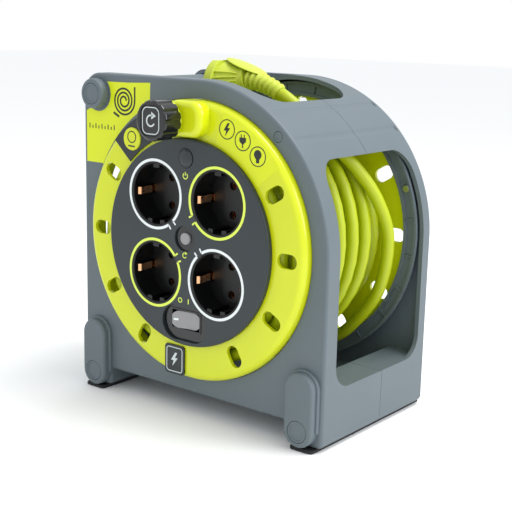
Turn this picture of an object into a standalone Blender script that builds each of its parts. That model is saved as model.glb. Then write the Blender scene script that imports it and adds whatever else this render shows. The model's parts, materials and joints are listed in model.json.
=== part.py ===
"""Extension cord reel: an open two-part case, a drum with four earthed sockets in its
front, 15 m of cable wound on it, and the plug laid up in the top opening.

Lengths are metres. Every piece is drawn in the drum's own frame: X to the right, Y to the
rear with 0 at the front face of the drum's ring, Z up with 0 on the drum's axis. The empty
"reel" then puts that frame on the floor, centred over the origin.
"""

import math

import bmesh
import bpy
from mathutils import Matrix, Vector

MM = 0.001
GAP = 0.3 * MM                 # between pieces that touch

# Case. It follows the drum that turns in it
DRUM_RADIUS = 93.2 * MM
CASE_RADIUS = DRUM_RADIUS + 12.3 * MM  # of the round back of the band, and half the case's width
WALL = 3.0 * MM
FACE_Y = 7.0 * MM              # front face of the front cover
SEAM_Y = 75.0 * MM             # where the two covers meet
REAR_Y = 131.0 * MM            # rear face of the rear cover
BASE_Z = 0.5 * MM - CASE_RADIUS  # underside of the case between the feet
CORNER_RADIUS = 14.0 * MM      # of the square top left corner
CORNER_RIM_DEPTH = 11.6 * MM   # how far the square corner's edge turns in

# Openings of the case
TOP_HALF_WIDTH = CASE_RADIUS - 55.7 * MM
TOP_FRONT_Y = 19.0 * MM
TOP_REAR_Y = 112.0 * MM
TOP_CORNER = 18.0 * MM
WINDOW_FRONT_Y = 20.0 * MM
WINDOW_REAR_Y = 121.0 * MM
WINDOW_TOP_Z = CASE_RADIUS - 45.0 * MM
WINDOW_FOOT_Z = BASE_Z + 23.0 * MM
WINDOW_CORNER = 15.0 * MM
REAR_HOLE_RADIUS = DRUM_RADIUS - 4.2 * MM

# Feet, corner bar and case screws
FOOT_X = CASE_RADIUS - 14.5 * MM  # middle of each foot
FOOT_RADIUS = 10.8 * MM        # of the foot's rounded ends
FOOT_BOTTOM_Z = BASE_Z - 13.0 * MM
FOOT_TOP_Z = FOOT_BOTTOM_Z + 49.0 * MM
FOOT_INNER_X = CASE_RADIUS - 25.5 * MM
FOOT_CORNER = 4.0 * MM
FOOT_REACH = 7.0 * MM          # how far foot and bar ends stand out of the front face
REAR_REACH = 6.0 * MM          # the same at the rear
PAD_WIDTH = 18.0 * MM
PAD_OFFSET = 1.5 * MM          # of its middle, outside the foot's
PAD_THICKNESS = 2.2 * MM
PAD_INSET = 2.0 * MM           # from the foot's two ends
BAR_X = 14.5 * MM - CASE_RADIUS
BAR_Z = CASE_RADIUS - 14.0 * MM
BAR_RADIUS = 10.3 * MM
BAR_BORE_RADIUS = 6.4 * MM
SPIGOT_RADIUS = 5.8 * MM       # of the covers' spigots in the bar's bore
SPIGOT_LENGTH = 8.0 * MM
SIDE_SCREW_X = (CASE_RADIUS - 6.6 * MM) * math.cos(math.radians(48.7))
SIDE_SCREW_Z = (CASE_RADIUS - 6.6 * MM) * math.sin(math.radians(48.7))
SCREW_RADIUS = 1.5 * MM
SCREW_HOLE_RADIUS = 1.8 * MM
SCREW_HEAD_RADIUS = 2.9 * MM
SCREW_HEAD_HEIGHT = 2.0 * MM
SCREW_WELL_RADIUS = 3.2 * MM
SCREW_WELL_DEPTH = 12.0 * MM
SCREW_BITE = 16.0 * MM         # length of thread in the rear cover
POST_RADIUS = 4.0 * MM         # of the screw posts in the case
CAP_RADIUS = 7.0 * MM          # screw caps of the feet and the bar
SIDE_CAP_RADIUS = 3.2 * MM
CAP_THICKNESS = 1.6 * MM

# Drum
RUNNING = 0.5 * MM             # between drum and case, all round
PANEL_RADIUS = DRUM_RADIUS - 24.4 * MM
RING_INNER_RADIUS = PANEL_RADIUS - 6.6 * MM
RING_THICKNESS = 2.6 * MM
RIM_DEPTH = 13.0 * MM
RIM_WALL = 2.6 * MM
RIM_ROUNDING = 5.0 * MM
SHOULDER_RADIUS = PANEL_RADIUS - 4.2 * MM  # round the socket wells, behind the ring
SHOULDER_DEPTH = 19.0 * MM
SHOULDER_WALL = 2.4 * MM
HUB_RADIUS = SHOULDER_RADIUS - 7.6 * MM
HUB_WALL = 2.5 * MM
HUB_FLOOR_Y = 100.0 * MM       # the wall that closes the hub
REAR_FLANGE_Y = 121.5 * MM
REAR_FLANGE_END_Y = 127.5 * MM
FLANGE_THICKNESS = 2.5 * MM
SLOT_RADIUS = DRUM_RADIUS - 13.4 * MM  # to the middle of the radial slots
SLOT_LENGTH = 15.0 * MM
SLOT_WIDTH = 9.4 * MM
SLOT_PITCH_DEG = 30
SLOT_STEPS = 3                 # facets of a slot's round end
BARE_SLOT_ANGLES = (60, 90, 120, 270)   # ring places taken by the pod and the plates
KEEPER_INNER_RADIUS = DRUM_RADIUS - 2.2 * MM  # ring that holds the drum in the rear cover
KEEPER_OUTER_RADIUS = DRUM_RADIUS + 7.8 * MM
KEEPER_THICKNESS = 2.5 * MM
KEEPER_SCREW_PITCH = DRUM_RADIUS + 5.2 * MM  # radius of the keeper's screw places
KEEPER_SCREW_ANGLES = (-135, -70, 20, 160)
KEEPER_SCREW_RADIUS = 0.8 * MM
KEEPER_SCREW_HEAD = 2.4 * MM
KEEPER_PILOT_RADIUS = 1.1 * MM          # holes for those screws in the rear cover
KEEPER_BOSS_RADIUS = 2.8 * MM
COLLAR_WALL = 2.5 * MM
BAND_STEPS = 13                # facets of a quarter of the case's round band
DRUM_SIDES = 64                # facets round the drum
HOLE_SIDES = 60                # facets round the hole it turns in

# Socket panel and what sits in it
PANEL_FRONT_Y = -4.0 * MM
PANEL_BEVEL = 1.2 * MM
SOCKET_X = 26.5 * MM
SOCKET_TOP_Z = 29.8 * MM
SOCKET_LOW_Z = -23.1 * MM
WELL_RADIUS = 20.0 * MM
WELL_WALL = 1.2 * MM
WELL_DEPTH = 17.5 * MM
WELL_FLOOR = 1.8 * MM
WELL_SIDES = 28
PIN_PITCH = 19.0 * MM
PIN_HOLE_RADIUS = 2.8 * MM
CLIP_X = 18.2 * MM             # earth clip arms, from the socket's middle
CLIP_WIDTH = 5.0 * MM
CLIP_THICKNESS = 0.8 * MM
CONTACT_RADIUS = 4.2 * MM
CONTACT_BORE_RADIUS = 2.5 * MM
LIVE_BAR_Y = 26.0 * MM
NEUTRAL_BAR_Y = 30.0 * MM
BAR_STRIP = 6.0 * MM           # width of a contact bar's strips
BAR_SHEET = 1.0 * MM
LENS_Z = PANEL_RADIUS - 12.8 * MM
LENS_RADIUS = 6.2 * MM
LENS_STAND_OUT = 0.8 * MM      # in front of the panel
LENS_BEVEL = 0.7 * MM
LAMP_RADIUS = 3.0 * MM
LAMP_END_Y = 12.0 * MM
RESET_Z = 3.4 * MM
RESET_RADIUS = 4.0 * MM
RESET_RECESS_X = 8.8 * MM
RESET_RECESS_Z = 8.3 * MM
RECESS_DEPTH = 1.8 * MM
RESET_STAND_OUT = 2.0 * MM     # from the floor of its recess
RESET_TRAVEL = 2.5 * MM
RESET_LENGTH = 12.0 * MM
RESET_BEVEL = 0.5 * MM
CUTOUT_HALF_WIDTH = 7.0 * MM
CUTOUT_HALF_HEIGHT = 10.0 * MM
CUTOUT_DEPTH = 20.0 * MM
ROCKER_Z = 16.8 * MM - PANEL_RADIUS
ROCKER_RADIUS = 11.4 * MM      # of its ends, from its pivot
ROCKER_HEIGHT = 11.6 * MM
ROCKER_PIVOT_Y = 0.9 * MM
ROCKER_DISH_Y = -2.6 * MM      # middle of its dished front, from its pivot
ROCKER_BACK_X = 6.0 * MM       # half width of its back
ROCKER_BACK_Y = 4.5 * MM
ROCKER_SPACE = 9.0 * MM        # depth of the switch's cavity behind the pivot
ROCKER_TILT_DEG = 9.0          # from level; it rests with its right end pressed
SWITCH_RECESS_X = 19.4 * MM
SWITCH_RECESS_Z = 11.8 * MM
SWITCH_RECESS_MIDDLE_Z = ROCKER_Z - 2.0 * MM
SWITCH_RECESS_DEPTH = 2.6 * MM
SWITCH_FRONT_Y = -2.4 * MM
SWITCH_END_Y = 15.8 * MM
SWITCH_WALL = 1.2 * MM

# Winding knob
KNOB_X = -10.0 * MM
KNOB_Z = DRUM_RADIUS - 12.8 * MM
KNOB_RADIUS = 13.0 * MM
KNOB_FRONT_Y = -26.0 * MM
KNOB_LENGTH = 14.5 * MM
KNOB_BEVEL = 1.5 * MM
KNOB_FLUTES = 12
FLUTE_OFFSET = 1.2 * MM        # of the flutes' middles, outside the knob
FLUTE_RADIUS = 2.2 * MM
KNOB_CAP_WIDTH = 16.5 * MM
KNOB_CAP_HEIGHT = 19.0 * MM
KNOB_CAP_THICKNESS = 1.5 * MM
KNOB_CAP_CORNER = 5.0 * MM
KNOB_BORE_RADIUS = 3.0 * MM
AXLE_RADIUS = 2.7 * MM
AXLE_HEAD_RADIUS = 4.6 * MM
AXLE_HEAD_HEIGHT = 2.4 * MM
AXLE_END_Y = -2.4 * MM
KNOB_SEAT_RADIUS = 11.6 * MM
POD_LEFT_X = -14.0 * MM
POD_RIGHT_X = 16.5 * MM
POD_LOW_Z = DRUM_RADIUS - 23.5 * MM
POD_HIGH_Z = DRUM_RADIUS + 0.4 * MM
POD_CORNER = 9.0 * MM
POD_FRONT_Y = -9.5 * MM
PLATE_INNER_RADIUS = DRUM_RADIUS - 21.8 * MM
PLATE_OUTER_RADIUS = DRUM_RADIUS - 2.2 * MM
PLATE_START_DEG = 108.5
PLATE_END_DEG = 137.0
PLATE_THICKNESS = 1.0 * MM
BOSS_ANGLE_DEG = 128.0
BOSS_RADIUS = 7.7 * MM
BOSS_HEIGHT = 2.2 * MM         # in front of the ring's face
BADGE_X = -10.8 * MM
BADGE_Z = 11.8 * MM - DRUM_RADIUS
BADGE_WIDTH = 17.5 * MM
BADGE_HEIGHT = 20.5 * MM
BADGE_CORNER = 2.5 * MM

# Cable: three cores of 1.5 mm2 in a round sheath
CABLE_D = 8.6 * MM
LAYER_STEP = CABLE_D + 0.05 * MM
OUTER_LAYER = 2                # layers of cable under the one that shows
OUTER_TURNS = 6
LAST_TURN_STEPS = 4            # steps of the seventh turn, which stops low down
TURN_PITCH = 15.0 * MM
WINDING_FRONT_Y = 7.4 * MM     # middle of the first turn where it starts
WINDING_START_DEG = -150.0
POINTS_PER_TURN = 24
END_BEND = 6.5 * MM            # radius of the bend with which the cable leaves the layer

# Plug, laid in the top opening with its pins to the left
PLUG_FACE_X = -24.0 * MM
PLUG_Y = 57.0 * MM
PLUG_RADIUS = 18.5 * MM
PLUG_HALF_HEIGHT = 16.3 * MM   # to the flats that carry the earth clips
PLUG_FLANGE = 7.0 * MM
PLUG_BODY_RADIUS = 16.0 * MM
PLUG_NECK_RADIUS = 8.0 * MM
WING_LENGTH = 34.0 * MM
WING_WIDTH = 18.0 * MM
WING_THICKNESS = 3.0 * MM
WING_TILT_DEG = 17.4
PIN_RADIUS = 2.4 * MM
PIN_LENGTH = 19.0 * MM
PIN_ROOT = 5.0 * MM            # of each pin, inside the plug
PIN_BEVEL = 0.8 * MM
RELIEF_TURN_DEG = (-6.0, -30.0)    # its slope at each end
RELIEF_RINGS = 7
RELIEF_ROOT = 6.0 * MM         # how far its core reaches into the body
RELIEF_RING_RADIUS = (6.9 * MM, 5.7 * MM)
RELIEF_CORE_RADIUS = 5.2 * MM

KNOB_BACK_Y = KNOB_FRONT_Y + KNOB_LENGTH
SEAT_FRONT_Y = KNOB_BACK_Y + GAP
AXIS_HEIGHT = -(FOOT_BOTTOM_Z - GAP - PAD_THICKNESS)
DEPTH_MIDDLE = (KNOB_FRONT_Y + REAR_Y + REAR_REACH) / 2
HOLE_RADIUS = DRUM_RADIUS + RUNNING
WELL_END_Y = PANEL_FRONT_Y + WELL_DEPTH + WELL_FLOOR
HUB_START_Y = SHOULDER_DEPTH + GAP
OUTER_LAYER_RADIUS = HUB_RADIUS + GAP + CABLE_D / 2 + OUTER_LAYER * LAYER_STEP
WOUND_RADIUS = OUTER_LAYER_RADIUS + CABLE_D / 2
# The facets of a turn run inside its true radius
CORE_RADIUS = OUTER_LAYER_RADIUS * math.cos(math.pi / POINTS_PER_TURN) - CABLE_D / 2 - GAP
PLUG_Z = WOUND_RADIUS + GAP + PLUG_HALF_HEIGHT
WING_MIDDLE = (-1.8 * MM, 59.0 * MM, PLUG_Z + 12.75 * MM)
RELIEF_START = (1.4 * MM, PLUG_Z + 4.65 * MM)
RELIEF_END = (28.5 * MM, PLUG_Z - 3.35 * MM)
CORE_FRONT_Y = RING_THICKNESS + GAP
CORE_REAR_Y = REAR_FLANGE_Y - GAP
PANEL_REAR_Y = -GAP


# ---------------------------------------------------------------- scene, materials, tools

for old in list(bpy.data.objects):
    bpy.data.objects.remove(old)

parts = bpy.data.collections.new("extension_cord_reel")
cutters = bpy.data.collections.new("cutters")
for collection in (parts, cutters):
    bpy.context.scene.collection.children.link(collection)


def make_material(name, colour, roughness, metallic=0.0):
    material = bpy.data.materials.new(name)
    material.use_nodes = True
    shader = material.node_tree.nodes["Principled BSDF"]
    shader.inputs["Base Color"].default_value = (*colour, 1.0)
    shader.inputs["Roughness"].default_value = roughness
    shader.inputs["Metallic"].default_value = metallic
    return material


GREY = make_material("case_grey", (0.14, 0.17, 0.19), 0.5)
LIME = make_material("drum_lime", (0.72, 0.86, 0.02), 0.35)
CABLE = make_material("cable_lime", (0.45, 0.65, 0.01), 0.45)
DARK = make_material("panel_dark", (0.03, 0.034, 0.036), 0.5)
BLACK = make_material("black_plastic", (0.01, 0.01, 0.011), 0.4)
BUTTON = make_material("button_grey", (0.38, 0.37, 0.38), 0.4)
LENS = make_material("lens_smoke", (0.02, 0.02, 0.02), 0.1)
BRASS = make_material("brass", (0.76, 0.55, 0.27), 0.3, 1.0)
STEEL = make_material("steel", (0.6, 0.6, 0.6), 0.3, 1.0)
RUBBER = make_material("rubber", (0.02, 0.02, 0.02), 0.8)


def add_empty(name, location, parent=None):
    empty = bpy.data.objects.new(name, None)
    empty.location = location
    empty.parent = parent
    parts.objects.link(empty)
    return empty


reel = add_empty("reel", (0, -DEPTH_MIDDLE, AXIS_HEIGHT))
drum_axis = add_empty("drum_axis", (0, 0, 0), reel)
knob_axis = add_empty("knob_axis", (KNOB_X, 0, KNOB_Z), drum_axis)
reset_axis = add_empty("reset_axis", (0, 0, RESET_Z), drum_axis)
rocker_axis = add_empty("rocker_axis", (0, ROCKER_PIVOT_Y, ROCKER_Z), drum_axis)


def add_part(piece, name, material, axis):
    """Names a piece drawn in the drum's frame and hangs it on the empty it moves with."""
    piece.name = name
    piece.data.name = name
    piece.data.materials.clear()
    piece.data.materials.append(material)
    piece.parent = axis
    if axis.parent is drum_axis:
        piece.location = -axis.location
    for collection in list(piece.users_collection):
        collection.objects.unlink(piece)
    parts.objects.link(piece)
    if piece.type == "MESH":
        piece.data.shade_smooth()
        piece.data.set_sharp_from_angle(angle=math.radians(35))
    return piece


def new_shape(name, data):
    """An object in the drum's frame. It is a cutter until add_part makes it a piece."""
    piece = bpy.data.objects.new(name, data)
    piece.parent = reel
    cutters.objects.link(piece)
    return piece


def object_from(bm, name):
    mesh = bpy.data.meshes.new(name)
    bm.to_mesh(mesh)
    bm.free()
    return new_shape(name, mesh)


def box(low, high):
    """A box between two corners, as an object in the cutters' collection."""
    bm = bmesh.new()
    bmesh.ops.create_cube(bm, size=1.0)
    size = [high[i] - low[i] for i in range(3)]
    middle = [(high[i] + low[i]) / 2 for i in range(3)]
    bmesh.ops.scale(bm, vec=size, verts=bm.verts)
    bmesh.ops.translate(bm, vec=middle, verts=bm.verts)
    return object_from(bm, "box")


def rods(radius, start_y, end_y, places, sides=24):
    """Round bars along Y, one at each (x, z), as one object."""
    bm = bmesh.new()
    turn = Matrix.Rotation(math.radians(90), 4, "X")
    for x, z in places:
        middle = Matrix.Translation((x, (start_y + end_y) / 2, z))
        bmesh.ops.create_cone(
            bm, cap_ends=True, segments=sides, radius1=radius, radius2=radius,
            depth=end_y - start_y, matrix=middle @ turn)
    return object_from(bm, "rod")


def rod(radius, start_y, end_y, x=0.0, z=0.0, sides=24):
    return rods(radius, start_y, end_y, [(x, z)], sides)


def to_mesh(curve_object):
    """A curve as a closed mesh, ready to be cut or joined."""
    bpy.context.view_layer.update()
    evaluated = curve_object.evaluated_get(bpy.context.evaluated_depsgraph_get())
    mesh = bpy.data.meshes.new_from_object(evaluated)
    bm = bmesh.new()
    bm.from_mesh(mesh)
    bmesh.ops.remove_doubles(bm, verts=bm.verts, dist=0.00001)
    bmesh.ops.dissolve_degenerate(bm, edges=bm.edges, dist=0.000001)
    bmesh.ops.transform(bm, matrix=curve_object.matrix_world, verts=bm.verts)
    bmesh.ops.recalc_face_normals(bm, faces=bm.faces)
    bm.to_mesh(mesh)
    bm.free()
    piece = new_shape(curve_object.name, mesh)
    bpy.data.objects.remove(curve_object)
    return piece


def plate(outline, start_y, end_y, axis="Y"):
    """A flat outline, drawn from the front or, for axis X, from the right side, or, for
    axis Z, from above, with a thickness from start to end along that axis."""
    curve = bpy.data.curves.new("plate", "CURVE")
    curve.dimensions = "2D"
    curve.fill_mode = "BOTH"
    curve.extrude = (end_y - start_y) / 2
    spline = curve.splines.new("POLY")
    spline.points.add(len(outline) - 1)
    for point, (u, v) in zip(spline.points, outline):
        point.co = (u, v, 0, 1)
    spline.use_cyclic_u = True
    piece = bpy.data.objects.new("plate", curve)
    cutters.objects.link(piece)
    middle = (start_y + end_y) / 2
    if axis == "Y":
        place = Matrix.Translation((0, middle, 0)) @ Matrix.Rotation(math.radians(90), 4, "X")
    elif axis == "X":
        place = Matrix.Translation((middle, 0, 0)) @ Matrix.Rotation(math.radians(90), 4, "Z") \
            @ Matrix.Rotation(math.radians(90), 4, "X")
    else:
        place = Matrix.Translation((0, 0, middle))
    piece.matrix_world = place
    return to_mesh(piece)


def turned(profile, sides=48, closed=True):
    """A turned piece round the drum's axis. The profile is (radius, y) and runs towards
    the rear on its outer side."""
    bm = bmesh.new()
    verts = [bm.verts.new((radius, 0, -y)) for radius, y in profile]
    for first, second in zip(verts, verts[1:]):
        bm.edges.new((first, second))
    if closed:
        bm.edges.new((verts[-1], verts[0]))
    piece = object_from(bm, "turned")
    screw = piece.modifiers.new("turn", "SCREW")
    screw.axis = "Z"
    screw.steps = sides
    screw.render_steps = sides
    screw.use_merge_vertices = True
    screw.merge_threshold = 0.00001
    bpy.context.view_layer.update()
    evaluated = piece.evaluated_get(bpy.context.evaluated_depsgraph_get())
    mesh = bpy.data.meshes.new_from_object(evaluated)
    mesh.transform(Matrix.Rotation(math.radians(90), 4, "X"))
    bpy.data.objects.remove(piece)
    return new_shape("turned", mesh)


def move(piece, x=0.0, y=0.0, z=0.0):
    piece.data.transform(Matrix.Translation((x, y, z)))
    return piece


def boolean(piece, tool, operation="DIFFERENCE"):
    tool.hide_render = True
    tool.display_type = "WIRE"
    modifier = piece.modifiers.new(operation.lower(), "BOOLEAN")
    modifier.operation = operation
    modifier.object = tool
    modifier.solver = "EXACT"
    return piece


def join(piece, *tools):
    for tool in tools:
        boolean(piece, tool, "UNION")
    return piece


def cut(piece, *tools):
    for tool in tools:
        boolean(piece, tool, "DIFFERENCE")
    return piece


def soften(piece, width, segments=2, angle=50):
    bevel = piece.modifiers.new("soften", "BEVEL")
    bevel.width = width
    bevel.segments = segments
    bevel.limit_method = "ANGLE"
    bevel.angle_limit = math.radians(angle)
    bevel.use_clamp_overlap = True
    return piece


def arc(centre, radius, start_deg, end_deg, steps):
    """Points along an arc, both ends included."""
    angles = [math.radians(start_deg + (end_deg - start_deg) * i / steps) for i in range(steps + 1)]
    return [(centre[0] + radius * math.cos(a), centre[1] + radius * math.sin(a)) for a in angles]


def rounded_rectangle(low, high, radius, steps=4):
    (x0, z0), (x1, z1) = low, high
    return (arc((x1 - radius, z0 + radius), radius, -90, 0, steps)
            + arc((x1 - radius, z1 - radius), radius, 0, 90, steps)
            + arc((x0 + radius, z1 - radius), radius, 90, 180, steps)
            + arc((x0 + radius, z0 + radius), radius, 180, 270, steps))


def polar(radius, angle_deg):
    angle = math.radians(angle_deg)
    return radius * math.cos(angle), radius * math.sin(angle)


def tube(name, points, diameter, resolution, material, axis):
    """A cable or wire through the points, with closed ends."""
    curve = bpy.data.curves.new(name, "CURVE")
    curve.dimensions = "3D"
    curve.bevel_depth = diameter / 2
    curve.bevel_resolution = resolution
    curve.use_fill_caps = True
    spline = curve.splines.new("POLY")
    spline.points.add(len(points) - 1)
    for point, place in zip(spline.points, points):
        point.co = (*place, 1)
    piece = bpy.data.objects.new(name, curve)
    cutters.objects.link(piece)
    return add_part(piece, name, material, axis)


def smooth_route(points, step):
    """Points every step along a smooth curve through the route's points."""
    route = [Vector(p) for p in points]
    ends = [2 * route[0] - route[1]] + route + [2 * route[-1] - route[-2]]
    fine = []
    for i in range(1, len(ends) - 2):
        p0, p1, p2, p3 = ends[i - 1:i + 3]
        for k in range(20):
            t = k / 20
            fine.append(0.5 * (2 * p1 + (p2 - p0) * t + (2 * p0 - 5 * p1 + 4 * p2 - p3) * t * t
                               + (3 * p1 - p0 - 3 * p2 + p3) * t * t * t))
    fine.append(route[-1])
    lengths = [0.0]
    for a, b in zip(fine, fine[1:]):
        lengths.append(lengths[-1] + (b - a).length)
    count = max(2, round(lengths[-1] / step))
    result = []
    j = 0
    for i in range(count + 1):
        goal = lengths[-1] * i / count
        while j < len(lengths) - 2 and lengths[j + 1] < goal:
            j += 1
        part = (goal - lengths[j]) / max(lengths[j + 1] - lengths[j], 1e-9)
        result.append(fine[j].lerp(fine[j + 1], part))
    return result


# ---------------------------------------------------------------- case covers

SCREW_PLACES = [(-FOOT_X, FOOT_BOTTOM_Z + FOOT_RADIUS), (FOOT_X, FOOT_BOTTOM_Z + FOOT_RADIUS),
                (BAR_X, BAR_Z), (SIDE_SCREW_X, SIDE_SCREW_Z)]
SHORT_SCREW_END = SEAM_Y + SCREW_BITE
TIE_SCREW_END = REAR_Y - CORNER_RIM_DEPTH + WALL
SCREW_ENDS = [SHORT_SCREW_END, SHORT_SCREW_END, TIE_SCREW_END, SHORT_SCREW_END]


def cover_outline():
    """The case seen from the front: two feet, round back, square top left corner."""
    middle = CASE_RADIUS - CORNER_RADIUS
    low_z = FOOT_BOTTOM_Z + FOOT_CORNER
    return (arc((-FOOT_INNER_X - FOOT_CORNER, low_z), FOOT_CORNER, -90, 0, 2)
            + [(-FOOT_INNER_X, BASE_Z), (FOOT_INNER_X, BASE_Z)]
            + arc((FOOT_INNER_X + FOOT_CORNER, low_z), FOOT_CORNER, 180, 270, 2)
            + arc((CASE_RADIUS - FOOT_CORNER, low_z), FOOT_CORNER, -90, 0, 2)
            + arc((0, 0), CASE_RADIUS, 0, 90, BAND_STEPS)
            + arc((-middle, middle), CORNER_RADIUS, 90, 180, 4)
            + arc((FOOT_CORNER - CASE_RADIUS, low_z), FOOT_CORNER, 180, 270, 2))


def hollow_outline():
    """The space inside the band, down to the base and the tops of the feet."""
    inside = CASE_RADIUS - WALL
    ledge_z = WINDOW_FOOT_Z - GAP
    ledge_inner_z = WINDOW_FOOT_Z - GAP / 4
    return ([(-FOOT_INNER_X, BASE_Z + WALL), (FOOT_INNER_X, BASE_Z + WALL),
             (FOOT_INNER_X, ledge_inner_z), (inside, ledge_z)]
            + arc((0, 0), inside, 0, 180, 2 * BAND_STEPS)
            + [(-inside, ledge_z), (-FOOT_INNER_X, ledge_inner_z)])


def corner_pocket_outline():
    """The space in the square corner, between the round band and the corner's own rim."""
    band = CASE_RADIUS + GAP
    inside = CASE_RADIUS - WALL
    lean_deg = math.degrees(math.acos(inside / band))
    middle = CASE_RADIUS - CORNER_RADIUS
    return (arc((0, 0), band, 180 - lean_deg, 90 + lean_deg, BAND_STEPS)
            + arc((-middle, middle), CORNER_RADIUS - WALL, 90, 180, 4))


def foot_outline(side):
    x = side * FOOT_X
    low_z = FOOT_BOTTOM_Z + FOOT_RADIUS + 0.1 * MM
    return (arc((x, low_z), FOOT_RADIUS, 180, 360, 6)
            + arc((x, FOOT_TOP_Z - FOOT_RADIUS), FOOT_RADIUS, 0, 180, 6))


def foot_hollow(side, start_y, end_y):
    inner_x, outer_x = sorted((side * (FOOT_INNER_X + WALL), side * (CASE_RADIUS - WALL)))
    return box((inner_x, start_y, FOOT_BOTTOM_Z + WALL),
               (outer_x, end_y, WINDOW_FOOT_Z - GAP - WALL))


def make_cover(name, face_y, seam_y, reach, hole_radius):
    """One half of the case: its face, the half of the band behind it, two half feet and
    the screw posts. face_y is the outer face and seam_y the edge that meets the other."""
    inward = 1 if seam_y > face_y else -1

    def span(first, second):
        low, high = sorted((face_y + inward * first, face_y + inward * second))
        return low, high

    depth = abs(seam_y - face_y)
    cover = plate(cover_outline(), *span(0, depth))
    cut(cover, plate(hollow_outline(), *span(WALL, depth + WALL)))
    outside = CASE_RADIUS + WALL
    corner = plate([(-outside, 0)] + arc((0, 0), CASE_RADIUS, 180, 90, BAND_STEPS)
                   + [(0, outside), (-outside, outside)],
                   *span(CORNER_RIM_DEPTH, depth + WALL))
    cut(cover, corner)
    cut(cover, plate(corner_pocket_outline(), *span(WALL, depth + WALL)))
    for side in (-1, 1):
        cut(cover, foot_hollow(side, *span(WALL, depth + WALL)))
        join(cover, plate(foot_outline(side), *span(-reach, WALL / 2)))
    join(cover, rod(BAR_RADIUS, *span(-reach, CORNER_RIM_DEPTH), BAR_X, BAR_Z))
    spigot_end = CORNER_RIM_DEPTH + SPIGOT_LENGTH
    join(cover, rod(SPIGOT_RADIUS, *span(CORNER_RIM_DEPTH - WALL, spigot_end), BAR_X, BAR_Z, 16))
    posts = rods(POST_RADIUS, *span(WALL / 2, depth - 0.1 * MM),
                 [SCREW_PLACES[0], SCREW_PLACES[1], SCREW_PLACES[3]], 12)
    join(cover, posts)
    cut(cover, rod(hole_radius, *span(-reach - WALL, 2 * WALL), sides=HOLE_SIDES))
    top = plate(rounded_rectangle((-TOP_HALF_WIDTH, TOP_FRONT_Y), (TOP_HALF_WIDTH, TOP_REAR_Y),
                                  TOP_CORNER), CASE_RADIUS * 0.6, CASE_RADIUS + WALL, "Z")
    cut(cover, top)
    window = rounded_rectangle((WINDOW_FRONT_Y, WINDOW_FOOT_Z), (WINDOW_REAR_Y, WINDOW_TOP_Z),
                               WINDOW_CORNER)
    cut(cover, plate(window, CASE_RADIUS * 0.6, CASE_RADIUS + WALL, "X"))
    cut(cover, plate(window, -CASE_RADIUS - WALL, -CASE_RADIUS * 0.6, "X"))
    return add_part(cover, name, GREY, reel)


front_cover = make_cover("front_cover", FACE_Y, SEAM_Y - GAP / 2, FOOT_REACH, HOLE_RADIUS)
cap_seats = [(CAP_RADIUS, place, FACE_Y - FOOT_REACH) for place in SCREW_PLACES[:3]]
cap_seats.append((SIDE_CAP_RADIUS, SCREW_PLACES[3], FACE_Y))
for radius, (x, z), outer_y in cap_seats:
    cut(front_cover, rod(radius + GAP, outer_y - MM, outer_y + CAP_THICKNESS + GAP, x, z, 16))
    well_radius = min(SCREW_WELL_RADIUS, radius - GAP)
    cut(front_cover, rod(well_radius, outer_y, outer_y + SCREW_WELL_DEPTH, x, z, 12))
    cut(front_cover, rod(SCREW_HOLE_RADIUS, outer_y, SEAM_Y + WALL, x, z, 8))

rear_cover = make_cover("rear_cover", REAR_Y, SEAM_Y + GAP / 2, REAR_REACH, REAR_HOLE_RADIUS)
collar_end_y = REAR_Y - WALL / 2
keeper_rear_y = REAR_FLANGE_Y - RUNNING
keeper_front_y = keeper_rear_y - KEEPER_THICKNESS
collar = turned([(HOLE_RADIUS + COLLAR_WALL, keeper_rear_y + GAP),
                 (HOLE_RADIUS + COLLAR_WALL, collar_end_y),
                 (HOLE_RADIUS, collar_end_y), (HOLE_RADIUS, keeper_rear_y + GAP)])
join(rear_cover, collar)
keeper_screw_places = [polar(KEEPER_SCREW_PITCH, a) for a in KEEPER_SCREW_ANGLES]
join(rear_cover, rods(KEEPER_BOSS_RADIUS, keeper_rear_y + GAP, collar_end_y, keeper_screw_places, 10))
cut(rear_cover, rods(KEEPER_PILOT_RADIUS, keeper_rear_y - WALL, collar_end_y - 2 * MM,
                     keeper_screw_places, 8))
for place, end_y in zip(SCREW_PLACES, SCREW_ENDS):
    cut(rear_cover, rod(SCREW_HOLE_RADIUS, SEAM_Y - WALL, end_y + MM, *place, 8))


# ---------------------------------------------------------------- case fittings

def tube_along_y(radius, bore, start_y, end_y, x, z, sides=24):
    tube_piece = rod(radius, start_y, end_y, x, z, sides)
    return cut(tube_piece, rod(bore, start_y - MM, end_y + MM, x, z, sides))


def screw_piece(name, x, z, head_y, end_y, axis, radius=SCREW_RADIUS, head=SCREW_HEAD_RADIUS):
    """A screw put in from the front, with its head's front face at head_y."""
    neck_y = head_y + SCREW_HEAD_HEIGHT
    screw = turned([(0, head_y), (head, head_y), (head, neck_y), (radius, neck_y),
                    (radius, end_y), (0, end_y)], 8, closed=False)
    return add_part(move(screw, x=x, z=z), name, STEEL, axis)


bar_start = FACE_Y + CORNER_RIM_DEPTH + GAP
bar_end = REAR_Y - CORNER_RIM_DEPTH - GAP
carry_bar = tube_along_y(BAR_RADIUS, BAR_BORE_RADIUS, bar_start, bar_end, BAR_X, BAR_Z)
add_part(carry_bar, "carry_bar", GREY, reel)

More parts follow.
